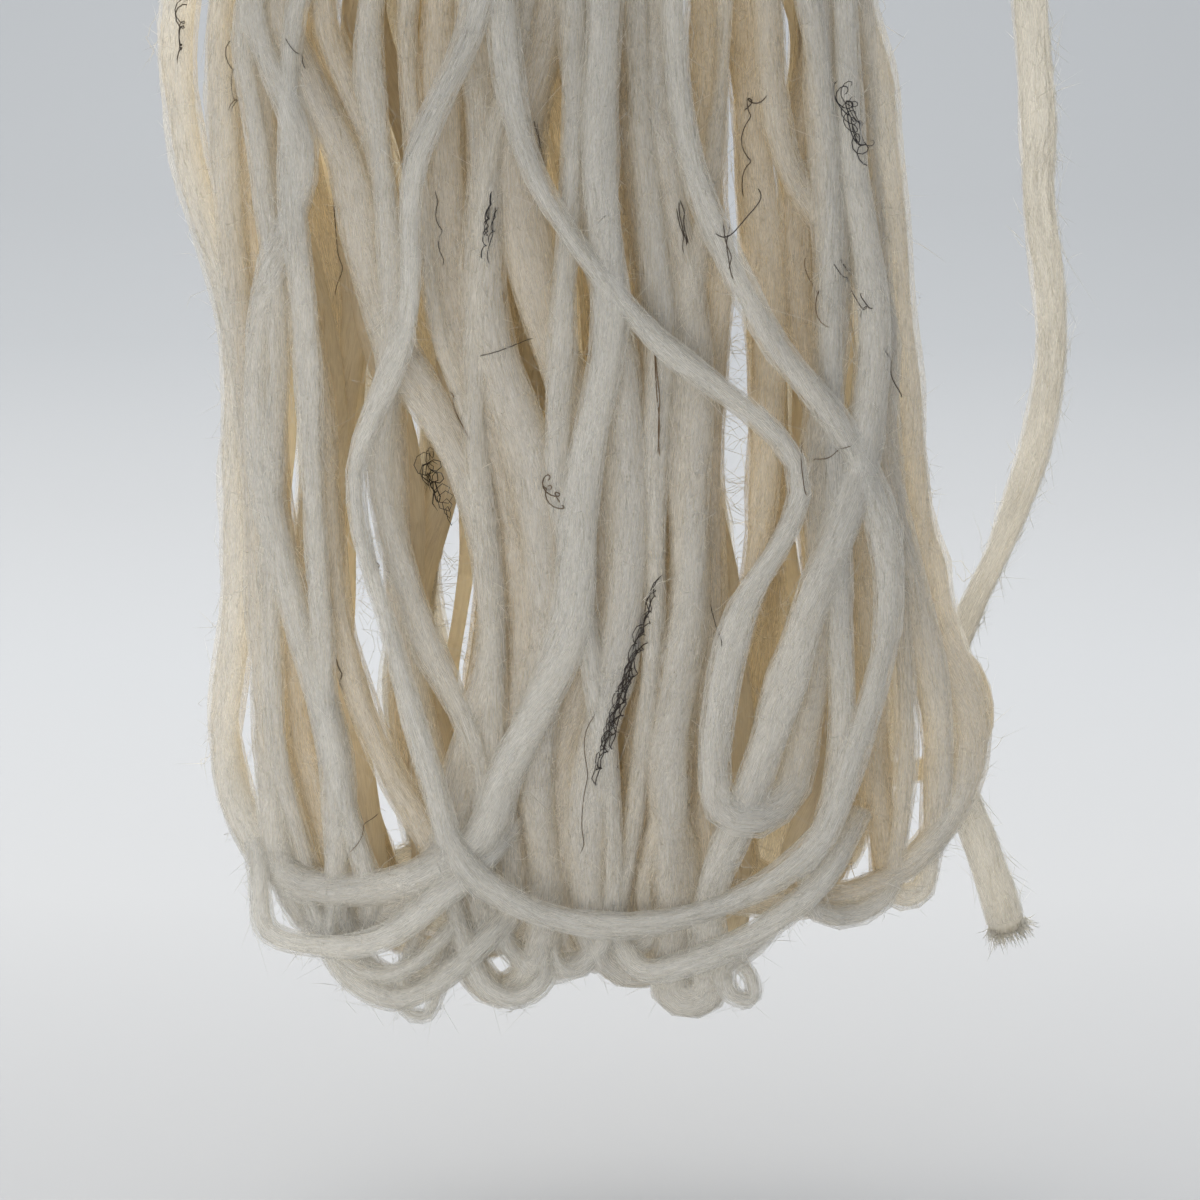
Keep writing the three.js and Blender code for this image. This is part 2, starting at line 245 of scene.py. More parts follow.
def clear_of_slits(xs):
    """Moves a leg to one side of each slit, over the slit's height and a little more."""
    xs = list(xs)
    levels = range(len(xs))
    for slit in SLITS:
        beside = np.interp((TOP_LEVEL - slit["z"]) / LEVEL_DROP, levels, xs)
        side = -1 if beside < slit["x"] else 1
        for level in levels:
            away = abs((level_height(level) - slit["z"]) / (slit["high"] + SLIT_EASE))
            need = (slit["wide"] + YARN / 2) * max(1 - away ** 4, 0)
            if abs(xs[level] - slit["x"]) < need + SLIT_REACH:
                xs[level] = slit["x"] + side * max(side * (xs[level] - slit["x"]), need)
    return xs


# %% [markdown]
# ## Legs of the hank
# The front legs follow the photograph. The inner and back legs can't be seen there, so they
# wander by sums of sines, which never repeat but are the same on every run. Their feet are
# higher at the sides than in the middle, as a hank's are.

# %% Legs in front and inside
INNER_LEGS = 12
INNER_FEET = -151
FEET_RISE = 0.004


def front_legs(table):
    """The left and right leg of each turn in a table, with their common foot."""
    legs = []
    for turn in table:
        foot_x, foot_z = turn["foot"]
        foot_under = sum(turn["depth"]) / 2 - 0.5
        foot = [foot_x, -face_depth(foot_x, foot_z, foot_under), foot_z]
        for side, under in zip(("left", "right"), turn["depth"]):
            legs.append({"xs": turn[side], "under": under, "face": -1, "foot": foot,
                         "thick": turn["thick"]})
    return legs


def swaying(k, count, inset, insets, sways):
    """A leg's x at each level: its even share of the width, and a sway.

    Each sine of the sway has its size, its angle from leg to leg and that from level to level.
    """
    across = (k + 0.5) / count
    xs = []
    for level in range(LEG_LEVELS):
        left, right, _ = section_at(level_height(level))
        sway = sum(size * math.sin(by_leg * k + by_level * level)
                   for size, by_leg, by_level in sways)
        xs.append(left + inset + (right - left - insets) * across + sway)
    return xs


def inner_legs():
    """Legs inside the hank's front, two to a foot."""
    legs = []
    for k in range(INNER_LEGS):
        xs = clear_of_slits(swaying(k, INNER_LEGS, 8, 18, [(2.2, 1.7, 0.9), (1.8, 3.3, -1.3)]))
        thick = 4.1 + 0.5 * math.sin(2.6 * k)
        legs.append({"xs": xs, "under": 3.2 + 0.8 * (k % 2), "face": -1,
                     "thick": [thick, 4.1, 8.2 - thick]})
    for k in range(0, INNER_LEGS, 2):
        foot_x = (legs[k]["xs"][-1] + legs[k + 1]["xs"][-1]) / 2
        foot_z = INNER_FEET + 3 * math.sin(1.3 * k) + FEET_RISE * foot_x ** 2
        legs[k]["foot"] = legs[k + 1]["foot"] = [foot_x, -3 - 2 * math.sin(2.1 * k), foot_z]
    return legs


# %% [markdown]
# ## Legs at the back
# A thick leg of the solids' back is two yarns side by side here, and the back legs meet at their
# feet in pairs. Deeper in hang a few more, which close the view between them.

# %% Legs at the back
BACK_LEGS = 28
BACK_YARN = 5.0
BACK_FEET = -153
DEEP_BACK_LEGS = 8
DEEP_FEET = -150


def back_legs():
    """Legs at the hank's back: two side by side for each thick leg of the solids."""
    thick_legs = BACK_LEGS // 2
    legs = []
    for q in range(BACK_LEGS):
        k, side = divmod(q, 2)
        xs = swaying(k, thick_legs, BACK_YARN, 2.4 * BACK_YARN, [(2.6, 2.3, 0.8), (2.2, 4.1, -1.1)])
        for level in range(LEG_LEVELS):
            left, right, _ = section_at(level_height(level))
            pairing = 1.5 * math.cos(math.pi * side + 0.7 * level + k)
            xs[level] = min(max(xs[level], left + 3), right - 7) + pairing
        under = (k % 2) * 0.9 + 0.35 * math.sin(math.pi * side + k)
        legs.append({"xs": clear_of_slits(xs), "under": under, "face": 1,
                     "thick_leg": k, "side": side})
    for leg in legs:
        k = leg["thick_leg"]
        # six thick legs make three pairs, and the last two make one
        pair = (k // 6) * 3 + k % 3
        partner = k + 3 if k % 6 < 3 else k - 3
        if k >= thick_legs - 2:
            pair, partner = (k // 6) * 3, 2 * thick_legs - 3 - k
        mate = legs[2 * partner + leg["side"]]
        foot_x = (leg["xs"][-1] + mate["xs"][-1]) / 2
        foot_z = BACK_FEET - 3.5 * math.sin(1.9 * pair) + FEET_RISE * foot_x ** 2
        leg["foot"] = [foot_x, 8 + 3 * math.sin(2.7 * pair), foot_z + 2.4 * leg["side"]]
    return legs


def deep_back_legs():
    """Legs inside the hank's back, two to a foot."""
    legs = []
    for k in range(DEEP_BACK_LEGS):
        xs = clear_of_slits(swaying(k, DEEP_BACK_LEGS, 9, 20, [(2.0, 2.9, 1.1), (1.6, 1.9, -0.9)]))
        legs.append({"xs": xs, "under": 3.0 + 0.7 * (k % 2), "face": 1})
    for k in range(0, DEEP_BACK_LEGS, 2):
        foot_x = (legs[k]["xs"][-1] + legs[k + 1]["xs"][-1]) / 2
        foot_z = DEEP_FEET + FEET_RISE * foot_x ** 2
        legs[k]["foot"] = legs[k + 1]["foot"] = [foot_x, 3 + 2 * math.sin(1.7 * k), foot_z]
    return legs


# %% [markdown]
# ## All legs
# The front legs come from the tables, and the others from the functions above.

# %% Make the legs
rng = np.random.default_rng(7)
shown = front_legs(FRONT_TURNS)
thin = front_legs(THIN_TURNS)
inner = inner_legs()
back = back_legs()
deep = deep_back_legs()
print(len(shown), "shown,", len(inner), "inner,", len(back), "back,", len(deep), "deep back legs")

# %% [markdown]
# ## From legs to turns
# Each front leg passes over the crown and goes on as a back leg. Two legs that hang close
# together would meet in a hairpin, so a narrow foot is a half circle instead.

# %% Points along a leg
NARROW_FOOT = 4.5
ROUND_FOOT = 2.4
ROUND_FOOT_ROOM = 1.6
ROUND_FOOT_POINTS = ((1.0, 0.98), (0.3, 0.72), (0.0, 0.0))
CROWN_ANGLES = (80, 55, 30, 4)
FOOT_ANGLES = (30, 60, 90)


def leg_points(leg, crown_x, layer):
    """The points of one leg in millimetres, from the crown down to its foot."""
    radius = EYE_RADIUS + YARN / 2 + layer * LAYER_PITCH
    face = leg["face"]
    points = []
    for angle in CROWN_ANGLES:
        a = math.radians(angle)
        points.append([crown_x, face * radius * math.cos(a), -EYE_RADIUS + radius * math.sin(a)])
    top_x = leg["xs"][0]
    shoulder = (radius + face_depth(top_x, TOP_LEVEL, leg["under"])) / 2
    points.append([(top_x + crown_x) / 2, face * shoulder, SHOULDER_HEIGHT])
    for level, x in enumerate(leg["xs"]):
        z = level_height(level)
        points.append([x, face * face_depth(x, z, leg["under"]), z])
    last = points[-1]
    foot = leg["foot"]
    aside = last[0] - foot[0]
    if abs(aside) < NARROW_FOOT:
        radius = max(abs(aside), ROUND_FOOT)
        # the half circle needs room above the foot
        while points[-1][2] < foot[2] + ROUND_FOOT_ROOM * radius:
            points.pop()
        last = points[-1]
        for up, over in ROUND_FOOT_POINTS:
            z = foot[2] + radius * up
            down = (last[2] - z) / (last[2] - foot[2])
            points.append([foot[0] + math.copysign(radius, aside) * over,
                           last[1] + (foot[1] - last[1]) * down, z])
        return points
    for angle in FOOT_ANGLES:
        down, over = math.sin(math.radians(angle)), math.cos(math.radians(angle))
        points.append([foot[0] + (last[0] - foot[0]) * over, foot[1] + (last[1] - foot[1]) * over,
                       last[2] + (foot[2] - last[2]) * down])
    return points


# %% [markdown]
# ## Which back leg belongs to which front leg
# The front legs are ranked from left to right, and the ranks share the crown evenly, three yarns
# deep. Every fourth or fifth leg goes on deep inside, and the others at the back. A thin turn
# runs along a deep back leg.

# %% Rank the legs over the crown
fronts = sorted(shown + inner, key=lambda leg: leg["xs"][0])
deep_ranks = [2, 6, 11, 15, 20, 24, 29, 33]
backs = []
outer_back, inner_back = iter(back), iter(deep)
for rank in range(len(fronts)):
    backs.append(next(inner_back) if rank in deep_ranks else next(outer_back))
for rank, leg in enumerate(fronts):
    leg["crown_x"] = CROWN_CENTRE + CROWN_WIDTH * ((rank + 0.5) / len(fronts) - 0.5)
    leg["layer"] = (2 * rank) % CROWN_LAYERS
    leg["back"] = backs[rank]
for number, leg in enumerate(thin):
    beside = deep[(3 * number) % len(deep)]
    leg["crown_x"] = 0.6 * min(max(leg["xs"][0], -38), 30)
    leg["layer"] = number % CROWN_LAYERS
    leg["back"] = dict(beside, xs=[x + 2.5 - number for x in beside["xs"]], under=2.4)


def half_turn(leg):
    """From the back foot over the crown to the front foot."""
    front = leg_points(leg, leg["crown_x"], leg["layer"])
    behind = leg_points(leg["back"], leg["crown_x"], leg["layer"])
    return behind[::-1] + front


turns = []
for kind, group in (("shown", shown), ("thin", thin), ("inner", inner)):
    for left, right in zip(group[::2], group[1::2]):
        turns.append({"points": half_turn(left) + half_turn(right)[::-1][1:], "kind": kind,
                      "thick": left["thick"]})
print(len(turns), "whole turns")

# %% [markdown]
# ## The line of a yarn
# A curve through the points of a turn gives its centre line. A centripetal Catmull-Rom curve
# passes through every point and makes no loops of its own where two points lie close. Its steps
# are even, but finer in a tight bend, so that a foot doesn't look like a polygon.

# %% A smooth line through points
RING_STEP = 1.8
DENSE_STEPS = 12
BEND_SPAN = 9
GENTLE_BEND = 0.15
TIGHTEST_BEND = 0.35
BEND_EFFORT = 5


def blend(p, q, low, high, t):
    """From one point to the other while t goes from low to high."""
    return (high - t) / (high - low) * p + (t - low) / (high - low) * q


def smooth_path(points, step):
    """Points along the curve, and how far along it each one lies, in millimetres."""
    p = np.array(points, float)
    p = np.vstack([2 * p[0] - p[1], p, 2 * p[-1] - p[-2]])
    dense = []
    for i in range(1, len(p) - 2):
        p0, p1, p2, p3 = p[i - 1:i + 3]
        t0 = 0.0
        t1 = t0 + max(np.linalg.norm(p1 - p0), 1e-6) ** 0.5
        t2 = t1 + max(np.linalg.norm(p2 - p1), 1e-6) ** 0.5
        t3 = t2 + max(np.linalg.norm(p3 - p2), 1e-6) ** 0.5
        t = np.linspace(t1, t2, DENSE_STEPS, endpoint=False)[:, None]
        middle = blend(p1, p2, t1, t2, t)
        before = blend(blend(p0, p1, t0, t1, t), middle, t0, t2, t)
        after = blend(middle, blend(p2, p3, t2, t3, t), t1, t3, t)
        dense.append(blend(before, after, t1, t2, t))
    dense = np.vstack(dense + [p[-2:-1]])
    pace = np.linalg.norm(np.diff(dense, axis=0), axis=1)
    along = np.concatenate([[0], np.cumsum(pace)])
    heading = np.diff(dense, axis=0) / np.maximum(pace, 1e-6)[:, None]
    bend = np.linalg.norm(np.diff(heading, axis=0, append=heading[-1:]), axis=1)
    bend = bend / np.maximum(pace, 0.05)
    bend = np.convolve(bend, np.ones(BEND_SPAN) / BEND_SPAN, mode="same")
    tight = np.clip(bend - GENTLE_BEND, 0, TIGHTEST_BEND)
    effort = np.concatenate([[0], np.cumsum(pace * (1 + BEND_EFFORT * tight))])
    count = max(int(round(effort[-1] / step)), 2)
    even = np.interp(np.linspace(0, effort[-1], count + 1), effort, along)
    return np.stack([np.interp(even, along, dense[:, i]) for i in range(3)], axis=1), even


# %% [markdown]
# ## Around the line
# Rings and fibres need directions across the line that turn as little as possible, or else the
# yarn would look wrung. A smooth random line makes one stretch of yarn unlike the next.

# %% Directions and wandering values
def frames_along(centres):
    """Directions, and two cross directions that turn as little as possible."""
    direction = np.gradient(centres, axis=0)
    direction /= np.linalg.norm(direction, axis=1)[:, None]
    normal = np.empty_like(centres)
    current = np.array([0.3, 1.0, 0.1])
    for i, d in enumerate(direction):
        current = current - d * current.dot(d)
        current /= np.linalg.norm(current)
        normal[i] = current
    return direction, normal, np.cross(direction, normal)


def around(angle, normal, across):
    """The direction at an angle around a line, from its two cross directions."""
    return np.cos(angle)[..., None] * normal + np.sin(angle)[..., None] * across


def wander(along, spacing, rng):
    """A smooth random line with a value about every spacing."""
    knots = rng.normal(0, 1, int(along[-1] / spacing) + 4)
    place = along / spacing
    low = place.astype(int)
    mix = place - low
    mix = mix * mix * (3 - 2 * mix)
    return knots[low] * (1 - mix) + knots[low + 1] * mix


# %% [markdown]
# ## The shape of a yarn
# A yarn is thick in one place and thin in the next, with a slight flat twist and soft ridges
# along it, as its fibres lie in strands. All of these wander slowly by smooth random lines.

# %% One yarn
RIDGES = (2, 3, 5, 7)
THICK_PART = (0.27, 0.73)
SWELL_LIMITS = (0.66, 1.38)
# each with the millimetres over which it changes
SLOW_SWELL, SLOW_SWELL_RUN = 0.12, 30
QUICK_SWELL, QUICK_SWELL_RUN = 0.08, 8
TWIST, TWIST_RUN = 0.5, 30
RIDGE, RIDGE_RUN = 0.13, 9
RIDGE_DRIFT, RIDGE_DRIFT_RUN = 0.6, 14
EVEN_TWIST = 0.02
FLATNESS = 0.1
YARN_NUMBERS = 1000


def yarn_along(points, thick, rng, step=RING_STEP):
    """One yarn's centre line, cross directions, radius, twist and ridges, ring by ring."""
    centres, along = smooth_path(points, step)
    direction, normal, across = frames_along(centres)
    swell = (1 + SLOW_SWELL * wander(along, SLOW_SWELL_RUN, rng)
             + QUICK_SWELL * wander(along, QUICK_SWELL_RUN, rng))
    mean = np.interp(along / along[-1], np.linspace(*THICK_PART, len(thick)), thick)
    radius = mean / 2 * np.clip(swell, *SWELL_LIMITS)
    twist = along * EVEN_TWIST + TWIST * wander(along, TWIST_RUN, rng)
    ridges = [RIDGE * wander(along, RIDGE_RUN, rng) / number ** 0.5 for number in RIDGES]
    phases = [RIDGE_DRIFT * wander(along, RIDGE_DRIFT_RUN, rng) + number for number in RIDGES]
    return {"centres": centres, "along": along, "normal": normal, "across": across,
            "radius": radius, "twist": twist, "ridges": np.stack(ridges, axis=1),
            "phases": np.stack(phases, axis=1), "number": rng.integers(YARN_NUMBERS)}


def surface_radius(yarn, index, angle):
    """How far the surface lies from the centre line at rings of a yarn, for angles around it."""
    turned = angle - yarn["twist"][index]
    swell = FLATNESS * np.cos(2 * turned)
    for j, number in enumerate(RIDGES):
        ridge = np.cos(number * turned + yarn["phases"][index, j])
        swell = swell + yarn["ridges"][index, j] * ridge
    return yarn["radius"][index] * (1 + swell)


# %% [markdown]
# ## Yarn as a mesh
# Thousands of rings are worked out with arrays, because an operator on each ring would take
# minutes. Each mesh keeps attributes for its material: a straightened coordinate, so that the
# streaks run along the yarn however it hangs, how far a point lies between the turns, which
# places the painted cool light at the face and the painted warm glow inside, and how far it
# lies behind the hank's middle.

# %% Helpers for meshes
SUNK_DEPTH = 5.5
BEHIND_FROM = -3
BEHIND_DEPTH = 8


# painted light: 0 gives the painted cool light of the hank's face, 1 the painted warm glow between
# the turns
def sunk_in(vertices):
    """How far points lie between the turns, from 0 at the hank's face to 1 well inside."""
    face = face_at(vertices[:, 0], vertices[:, 2])
    return np.clip((face - np.abs(vertices[:, 1])) / SUNK_DEPTH, 0, 1)


def mesh_from_arrays(name, vertices, faces, straight=None, tone=None):
    """A mesh object from arrays in millimetres. Faces all have the same number of corners."""
    mesh = bpy.data.meshes.new(name)
    corners = faces.shape[1]
    mesh.vertices.add(len(vertices))
    mesh.vertices.foreach_set("co", (vertices * MM).astype(np.float32).ravel())
    mesh.loops.add(faces.size)
    mesh.loops.foreach_set("vertex_index", faces.astype(np.int32).ravel())
    mesh.polygons.add(len(faces))
    mesh.polygons.foreach_set("loop_start", np.arange(len(faces), dtype=np.int32) * corners)
    mesh.polygons.foreach_set("use_smooth", np.ones(len(faces), bool))
    if straight is not None:
        layer = mesh.attributes.new("straight", "FLOAT_VECTOR", "POINT")
        layer.data.foreach_set("vector", straight.astype(np.float32).ravel())
    if tone is not None:
        layer = mesh.attributes.new("tone", "FLOAT", "POINT")
        layer.data.foreach_set("value", tone.astype(np.float32).ravel())
    behind = np.clip((vertices[:, 1] - BEHIND_FROM) / BEHIND_DEPTH, 0, 1)
    for kind, values in (("sunk", sunk_in(vertices)), ("behind", behind)):
        layer = mesh.attributes.new(kind, "FLOAT", "POINT")
        layer.data.foreach_set("value", values.astype(np.float32).ravel())
    mesh.update()
    mesh.validate()
    made = bpy.data.objects.new(name, mesh)
    bpy.context.collection.objects.link(made)
    return made


# %% [markdown]
# ## Rings and streaks
# A yarn becomes a row of rings, joined by triangles and closed at both ends. Several yarns make
# one object.

# %% Yarns as rings
YARN_SIDES = 12
THIN_SIDES = 10
STREAK_SPREAD = 900.0


def yarn_arrays(yarn, sides):
    """Ring vertices of one yarn, its triangles and its straightened coordinates."""
    angle = 2 * math.pi * np.arange(sides) / sides
    r = surface_radius(yarn, np.arange(len(yarn["along"]))[:, None], angle[None, :])
    outward = around(angle[None, :], yarn["normal"][:, None, :], yarn["across"][:, None, :])
    rings = yarn["centres"][:, None, :] + r[:, :, None] * outward
    count = len(rings)
    vertices = np.vstack([rings.reshape(-1, 3), yarn["centres"][:1], yarn["centres"][-1:]])
    i, j = np.meshgrid(np.arange(count - 1), np.arange(sides), indexing="ij")
    a = (i * sides + j).ravel()
    b = (i * sides + (j + 1) % sides).ravel()
    sides_low = np.stack([a, b, b + sides], axis=1)
    sides_high = np.stack([a, b + sides, a + sides], axis=1)
    ring = np.arange(sides)
    following = (ring + 1) % sides
    first = np.stack([np.full(sides, count * sides), following, ring], axis=1)
    base = (count - 1) * sides
    last = np.stack([np.full(sides, count * sides + 1), base + ring, base + following], axis=1)
    turned = angle[None, :] - yarn["twist"][:, None]
    # each yarn has its own stretch of the streaks
    long = yarn["along"][:, None] + STREAK_SPREAD * yarn["number"] / YARN_NUMBERS
    long = np.broadcast_to(long, r.shape)
    straight = np.stack([r * np.cos(turned), r * np.sin(turned), long], axis=2).reshape(-1, 3)
    straight = np.vstack([straight, [[0, 0, long[0, 0]]], [[0, 0, long[-1, 0]]]])
    return vertices, np.vstack([sides_low, sides_high, first, last]), straight


def joined_yarns(name, yarns, sides):
    """Several yarns as one mesh object."""
    vertices, faces, straights, base = [], [], [], 0
    for yarn in yarns:
        v, f, s = yarn_arrays(yarn, sides)
        vertices.append(v)
        faces.append(f + base)
        straights.append(s)
        base += len(v)
    made = mesh_from_arrays(name, np.vstack(vertices), np.vstack(faces), np.vstack(straights))
    print(name, len(made.data.polygons), "triangles")
    return made


# %% [markdown]
# ## The turns
# The turns that show in front are two pieces, left and right, and the thin turns, the inner
# ones and the small loops are one each, so that no piece gets heavy. The solid body of a yarn
# is a little thinner than the yarn, because its fluff comes on top.

# %% Make the turns
CORE_INSIDE = 0.4
LEFT_TURNS = 6
LOOP_STEP = 0.9

for turn in turns:
    cores = [thick - 2 * CORE_INSIDE for thick in turn["thick"]]
    turn["yarn"] = yarn_along(turn["points"], cores, rng)
shown_yarns, thin_yarns, inner_yarns = ([turn["yarn"] for turn in turns if turn["kind"] == kind]
                                        for kind in ("shown", "thin", "inner"))
left_yarns, right_yarns = shown_yarns[:LEFT_TURNS], shown_yarns[LEFT_TURNS:]
loop_yarns = [yarn_along(loop["points"], [loop["thick"] - 2 * CORE_INSIDE], rng, step=LOOP_STEP)
              for loop in SMALL_LOOPS]
left_turns = joined_yarns("turns_left", left_yarns, YARN_SIDES)
right_turns = joined_yarns("turns_right", right_yarns, YARN_SIDES)
thin_turns = joined_yarns("turns_thin", thin_yarns, THIN_SIDES)
inner_turns = joined_yarns("turns_inner", inner_yarns, THIN_SIDES)
small_loops = joined_yarns("small_loops", loop_yarns, THIN_SIDES)
hank_pieces = [left_turns, right_turns, thin_turns, inner_turns, small_loops]

# %% [markdown]
# ## A veil of the finest fibres
# The finest fibres are too many to model one by one. They make a soft blur around the yarn, and
# a second skin a little off it shows this: its material is see-through between streaks. A turn
# starts and ends at the back, so its middle half hangs in front.

# %% Veils
FRONT_PART = [(0.25, 0.75)]
BACK_PARTS = [(0.0, 0.25), (0.75, 1.0)]
WHOLE = [(0.0, 1.0)]
VEIL_SWELL, VEIL_SWELL_RUN = 0.25, 6


def veil(name, yarns, lift, parts):
    """A see-through skin of stray fibres a little off the yarns, over parts of them."""
    skins = []
    for yarn, part in ((yarn, part) for yarn in yarns for part in parts):
        low, high = (int(share * len(yarn["along"])) for share in part)
        skin = {key: value[low:high:2] if isinstance(value, np.ndarray) else value
                for key, value in yarn.items()}
        along = skin["along"] - skin["along"][0]
        swell = 1 + VEIL_SWELL * wander(along, VEIL_SWELL_RUN, rng)
        skin["radius"] = skin["radius"] + lift * swell
        skins.append(skin)
    return joined_yarns(name, skins, THIN_SIDES)


veils = [
    veil("veil_left", left_yarns, 0.5, FRONT_PART),
    veil("veil_right", right_yarns, 0.5, FRONT_PART),
    veil("veil_back", shown_yarns, 0.5, BACK_PARTS),
    veil("veil_inner", inner_yarns, 0.45, BACK_PARTS),
    veil("veil_thin", thin_yarns, 0.45, FRONT_PART),
    veil("veil_loops", loop_yarns, 0.45, WHOLE),
]

# %% [markdown]
# ## Fibres
# What makes this yarn fluffy is its loose fibres: most hug the yarn, and some stand off as a
# halo. Blender's hair curves would not be a mesh in the finished part, so each fibre is a
# three-sided sliver, pointed at both ends, and arrays place thousands of them on the yarns.

# %% Helpers for fibres
tone_rng = np.random.default_rng(5)


def hairs_mesh(name, paths, widths, tones=None):
    """Many hairs as one mesh: paths is hairs x points x 3, in millimetres, widths one per hair."""
    hairs, count, _ = paths.shape
    direction = np.gradient(paths, axis=1)
    direction /= np.linalg.norm(direction, axis=2)[:, :, None] + 1e-9
    aside = np.cross(direction, np.array([0.31, 0.87, 0.38]))
    aside /= np.linalg.norm(aside, axis=2)[:, :, None] + 1e-9
    other = np.cross(direction, aside)
    angle = 2 * math.pi * np.arange(3) / 3
    inner_paths = paths[:, 1:-1, None, :]
    ring = around(angle[None, None, :], aside[:, 1:-1, None, :], other[:, 1:-1, None, :])
    rings = inner_paths + ring * widths[:, None, None, None] / 2
    middle = (count - 2) * 3
    rings = rings.reshape(hairs, middle, 3)
    vertices = np.concatenate([paths[:, :1], rings, paths[:, -1:]], axis=1).reshape(-1, 3)
    faces = []
    for j in range(3):
        k = (j + 1) % 3
        faces.append([0, 1 + k, 1 + j])
        for i in range(count - 3):
            low, high = 1 + 3 * i, 4 + 3 * i
            faces += [[low + j, low + k, high + k], [low + j, high + k, high + j]]
        end = 1 + 3 * (count - 3)
        faces.append([middle + 1, end + j, end + k])
    faces = np.array(faces)
    base = (np.arange(hairs) * (middle + 2))[:, None, None]
    tone = np.repeat(tone_rng.uniform(0, 1, hairs) if tones is None else tones, middle + 2)
    made = mesh_from_arrays(name, vertices, (faces[None] + base).reshape(-1, 3), tone=tone)
    print(name, hairs, "hairs,", len(made.data.polygons), "triangles")
    return made


# %% [markdown]
# ## Where a fibre lies
# A fibre starts somewhere on the yarn, runs along it one way or the other and lifts off towards
# its tip. More of them start on the side that faces out of the hank.

# %% Paths of fibres
TRIES = 1.6
FACING_OUT = 0.45
LENGTH_SPREAD = 0.45
LENGTH_LIMITS = (0.35, 3)
HIGHEST_RISE = 6
CURL = 0.25


def fibres_on(yarn, per_mm, count, lift, length, rng, part):
    """Paths of fibres on a part of a yarn, per_mm of them on each millimetre."""
    along = yarn["along"]
    total = along[-1]
    low, high = part
    tries = int(total * (high - low) * per_mm * TRIES)
    start = rng.uniform(low * total, high * total, tries)
    angle = rng.uniform(0, 2 * math.pi, tries)

    def rings_at(s):
        return np.interp(s.ravel(), along, np.arange(len(along))).reshape(s.shape)

    def at(name, s):
        place = rings_at(s)
        index = np.minimum(place.astype(int), len(along) - 2)
        mix = (place - index)[..., None]
        values = yarn[name] if yarn[name].ndim == 2 else yarn[name][:, None]
        mixed = values[index] * (1 - mix) + values[index + 1] * mix
        return mixed if yarn[name].ndim == 2 else mixed[..., 0]

    place = at("centres", start)
    outward = place * [0.02, 0.06, 0]
    outward /= np.maximum(np.linalg.norm(outward, axis=1), 0.3)[:, None]
    facing = (outward * around(angle, at("normal", start), at("across", start))).sum(axis=1)
    kept = rng.uniform(0, 1, tries) < 1 / TRIES + FACING_OUT * facing
    start, angle = start[kept][:, None], angle[kept][:, None]
    hairs = len(start)
    shortest, longest = (limit * length for limit in LENGTH_LIMITS)
    reach = rng.lognormal(math.log(length), LENGTH_SPREAD, (hairs, 1))
    reach = np.clip(reach, shortest, longest)
    way = rng.choice([-1, 1], (hairs, 1))
    t = np.linspace(0, 1, count)[None, :]
    s = np.clip(start + way * reach * t, 0, total)
    bend = rng.normal(0, 0.4, (hairs, 1)) * np.sin(math.pi * t * rng.uniform(0.5, 2, (hairs, 1)))
    turned = angle + rng.normal(0.03, 0.07, (hairs, 1)) * (s - start) + bend
    highest = np.minimum(rng.exponential(lift, (hairs, 1)), HIGHEST_RISE)
    rise = highest * t ** rng.uniform(1.0, 3, (hairs, 1))
    ring = np.clip(np.rint(rings_at(s)).astype(int), 0, len(along) - 1)
    r = surface_radius(yarn, ring, turned) * 0.99 + rise
    curl = rng.normal(0, CURL, (hairs, count, 3)) * rise[:, :, None]
    return at("centres", s) + r[..., None] * around(turned, at("normal", s), at("across", s)) + curl


# %% [markdown]
# ## Grow the fibres
# There are four kinds: long fibres that lie along the yarn, short frizz all over it, a thin
# halo that stands off, and a few stray hairs. The front carries more than the rest, because it
# shows more. Each row says which yarns and which part of them, how many fibres grow on a
# millimetre, their points, how far they lift off, how long they are and how wide.

# %% Grow the fibres
def fibre_piece(name, yarns, parts, per_mm, count, lift, length, width):
    """One piece of fibres on several yarns, in millimetres."""
    paths = np.vstack([fibres_on(yarn, per_mm, count, lift, length, rng, part)
                       for yarn in yarns for part in parts])
    widths = rng.uniform(0.7, 1.3, len(paths)) * width
    return hairs_mesh(name, paths, widths)


FIBRES = [
    ("fibres_left", left_yarns, FRONT_PART, 3.6, 3, 0.35, 5, 0.075),
    ("fibres_right", right_yarns, FRONT_PART, 3.6, 3, 0.35, 5, 0.075),
    ("fibres_thin", thin_yarns, FRONT_PART, 2.4, 3, 0.3, 5, 0.08),
    ("fibres_back", shown_yarns, BACK_PARTS, 0.8, 3, 0.3, 5, 0.10),
    ("fibres_inner", inner_yarns, WHOLE, 1.3, 3, 0.3, 5, 0.09),
    ("frizz_left", left_yarns, FRONT_PART, 7.3, 3, 0.7, 1.8, 0.055),
    ("frizz_right", right_yarns, FRONT_PART, 7.3, 3, 0.7, 1.8, 0.055),
    ("frizz_thin", thin_yarns, FRONT_PART, 6, 3, 0.6, 1.6, 0.055),
    ("frizz_loops", loop_yarns, WHOLE, 13, 3, 1.0, 2.2, 0.055),
    ("frizz_back", shown_yarns, BACK_PARTS, 2.0, 3, 0.6, 1.8, 0.08),
    ("frizz_inner", inner_yarns, WHOLE, 1.3, 3, 0.6, 1.8, 0.08),
    ("halo_front", shown_yarns + thin_yarns, FRONT_PART, 0.9, 5, 1.2, 5, 0.05),
    ("halo_back", shown_yarns + inner_yarns, BACK_PARTS, 0.2, 5, 1.4, 5.5, 0.06),
    ("stray_hairs", shown_yarns + loop_yarns, WHOLE, 0.035, 9, 3.2, 14, 0.055),
]
fibre_pieces = [fibre_piece(*row) for row in FIBRES]
print(len(fibre_pieces), "pieces of fibres")

# %% [markdown]
# ## Fibres across the slits
# Between two turns the fibres of both cling together, so a slit is never quite empty. Curly
# single hairs are hung from one side of each slit to the other.

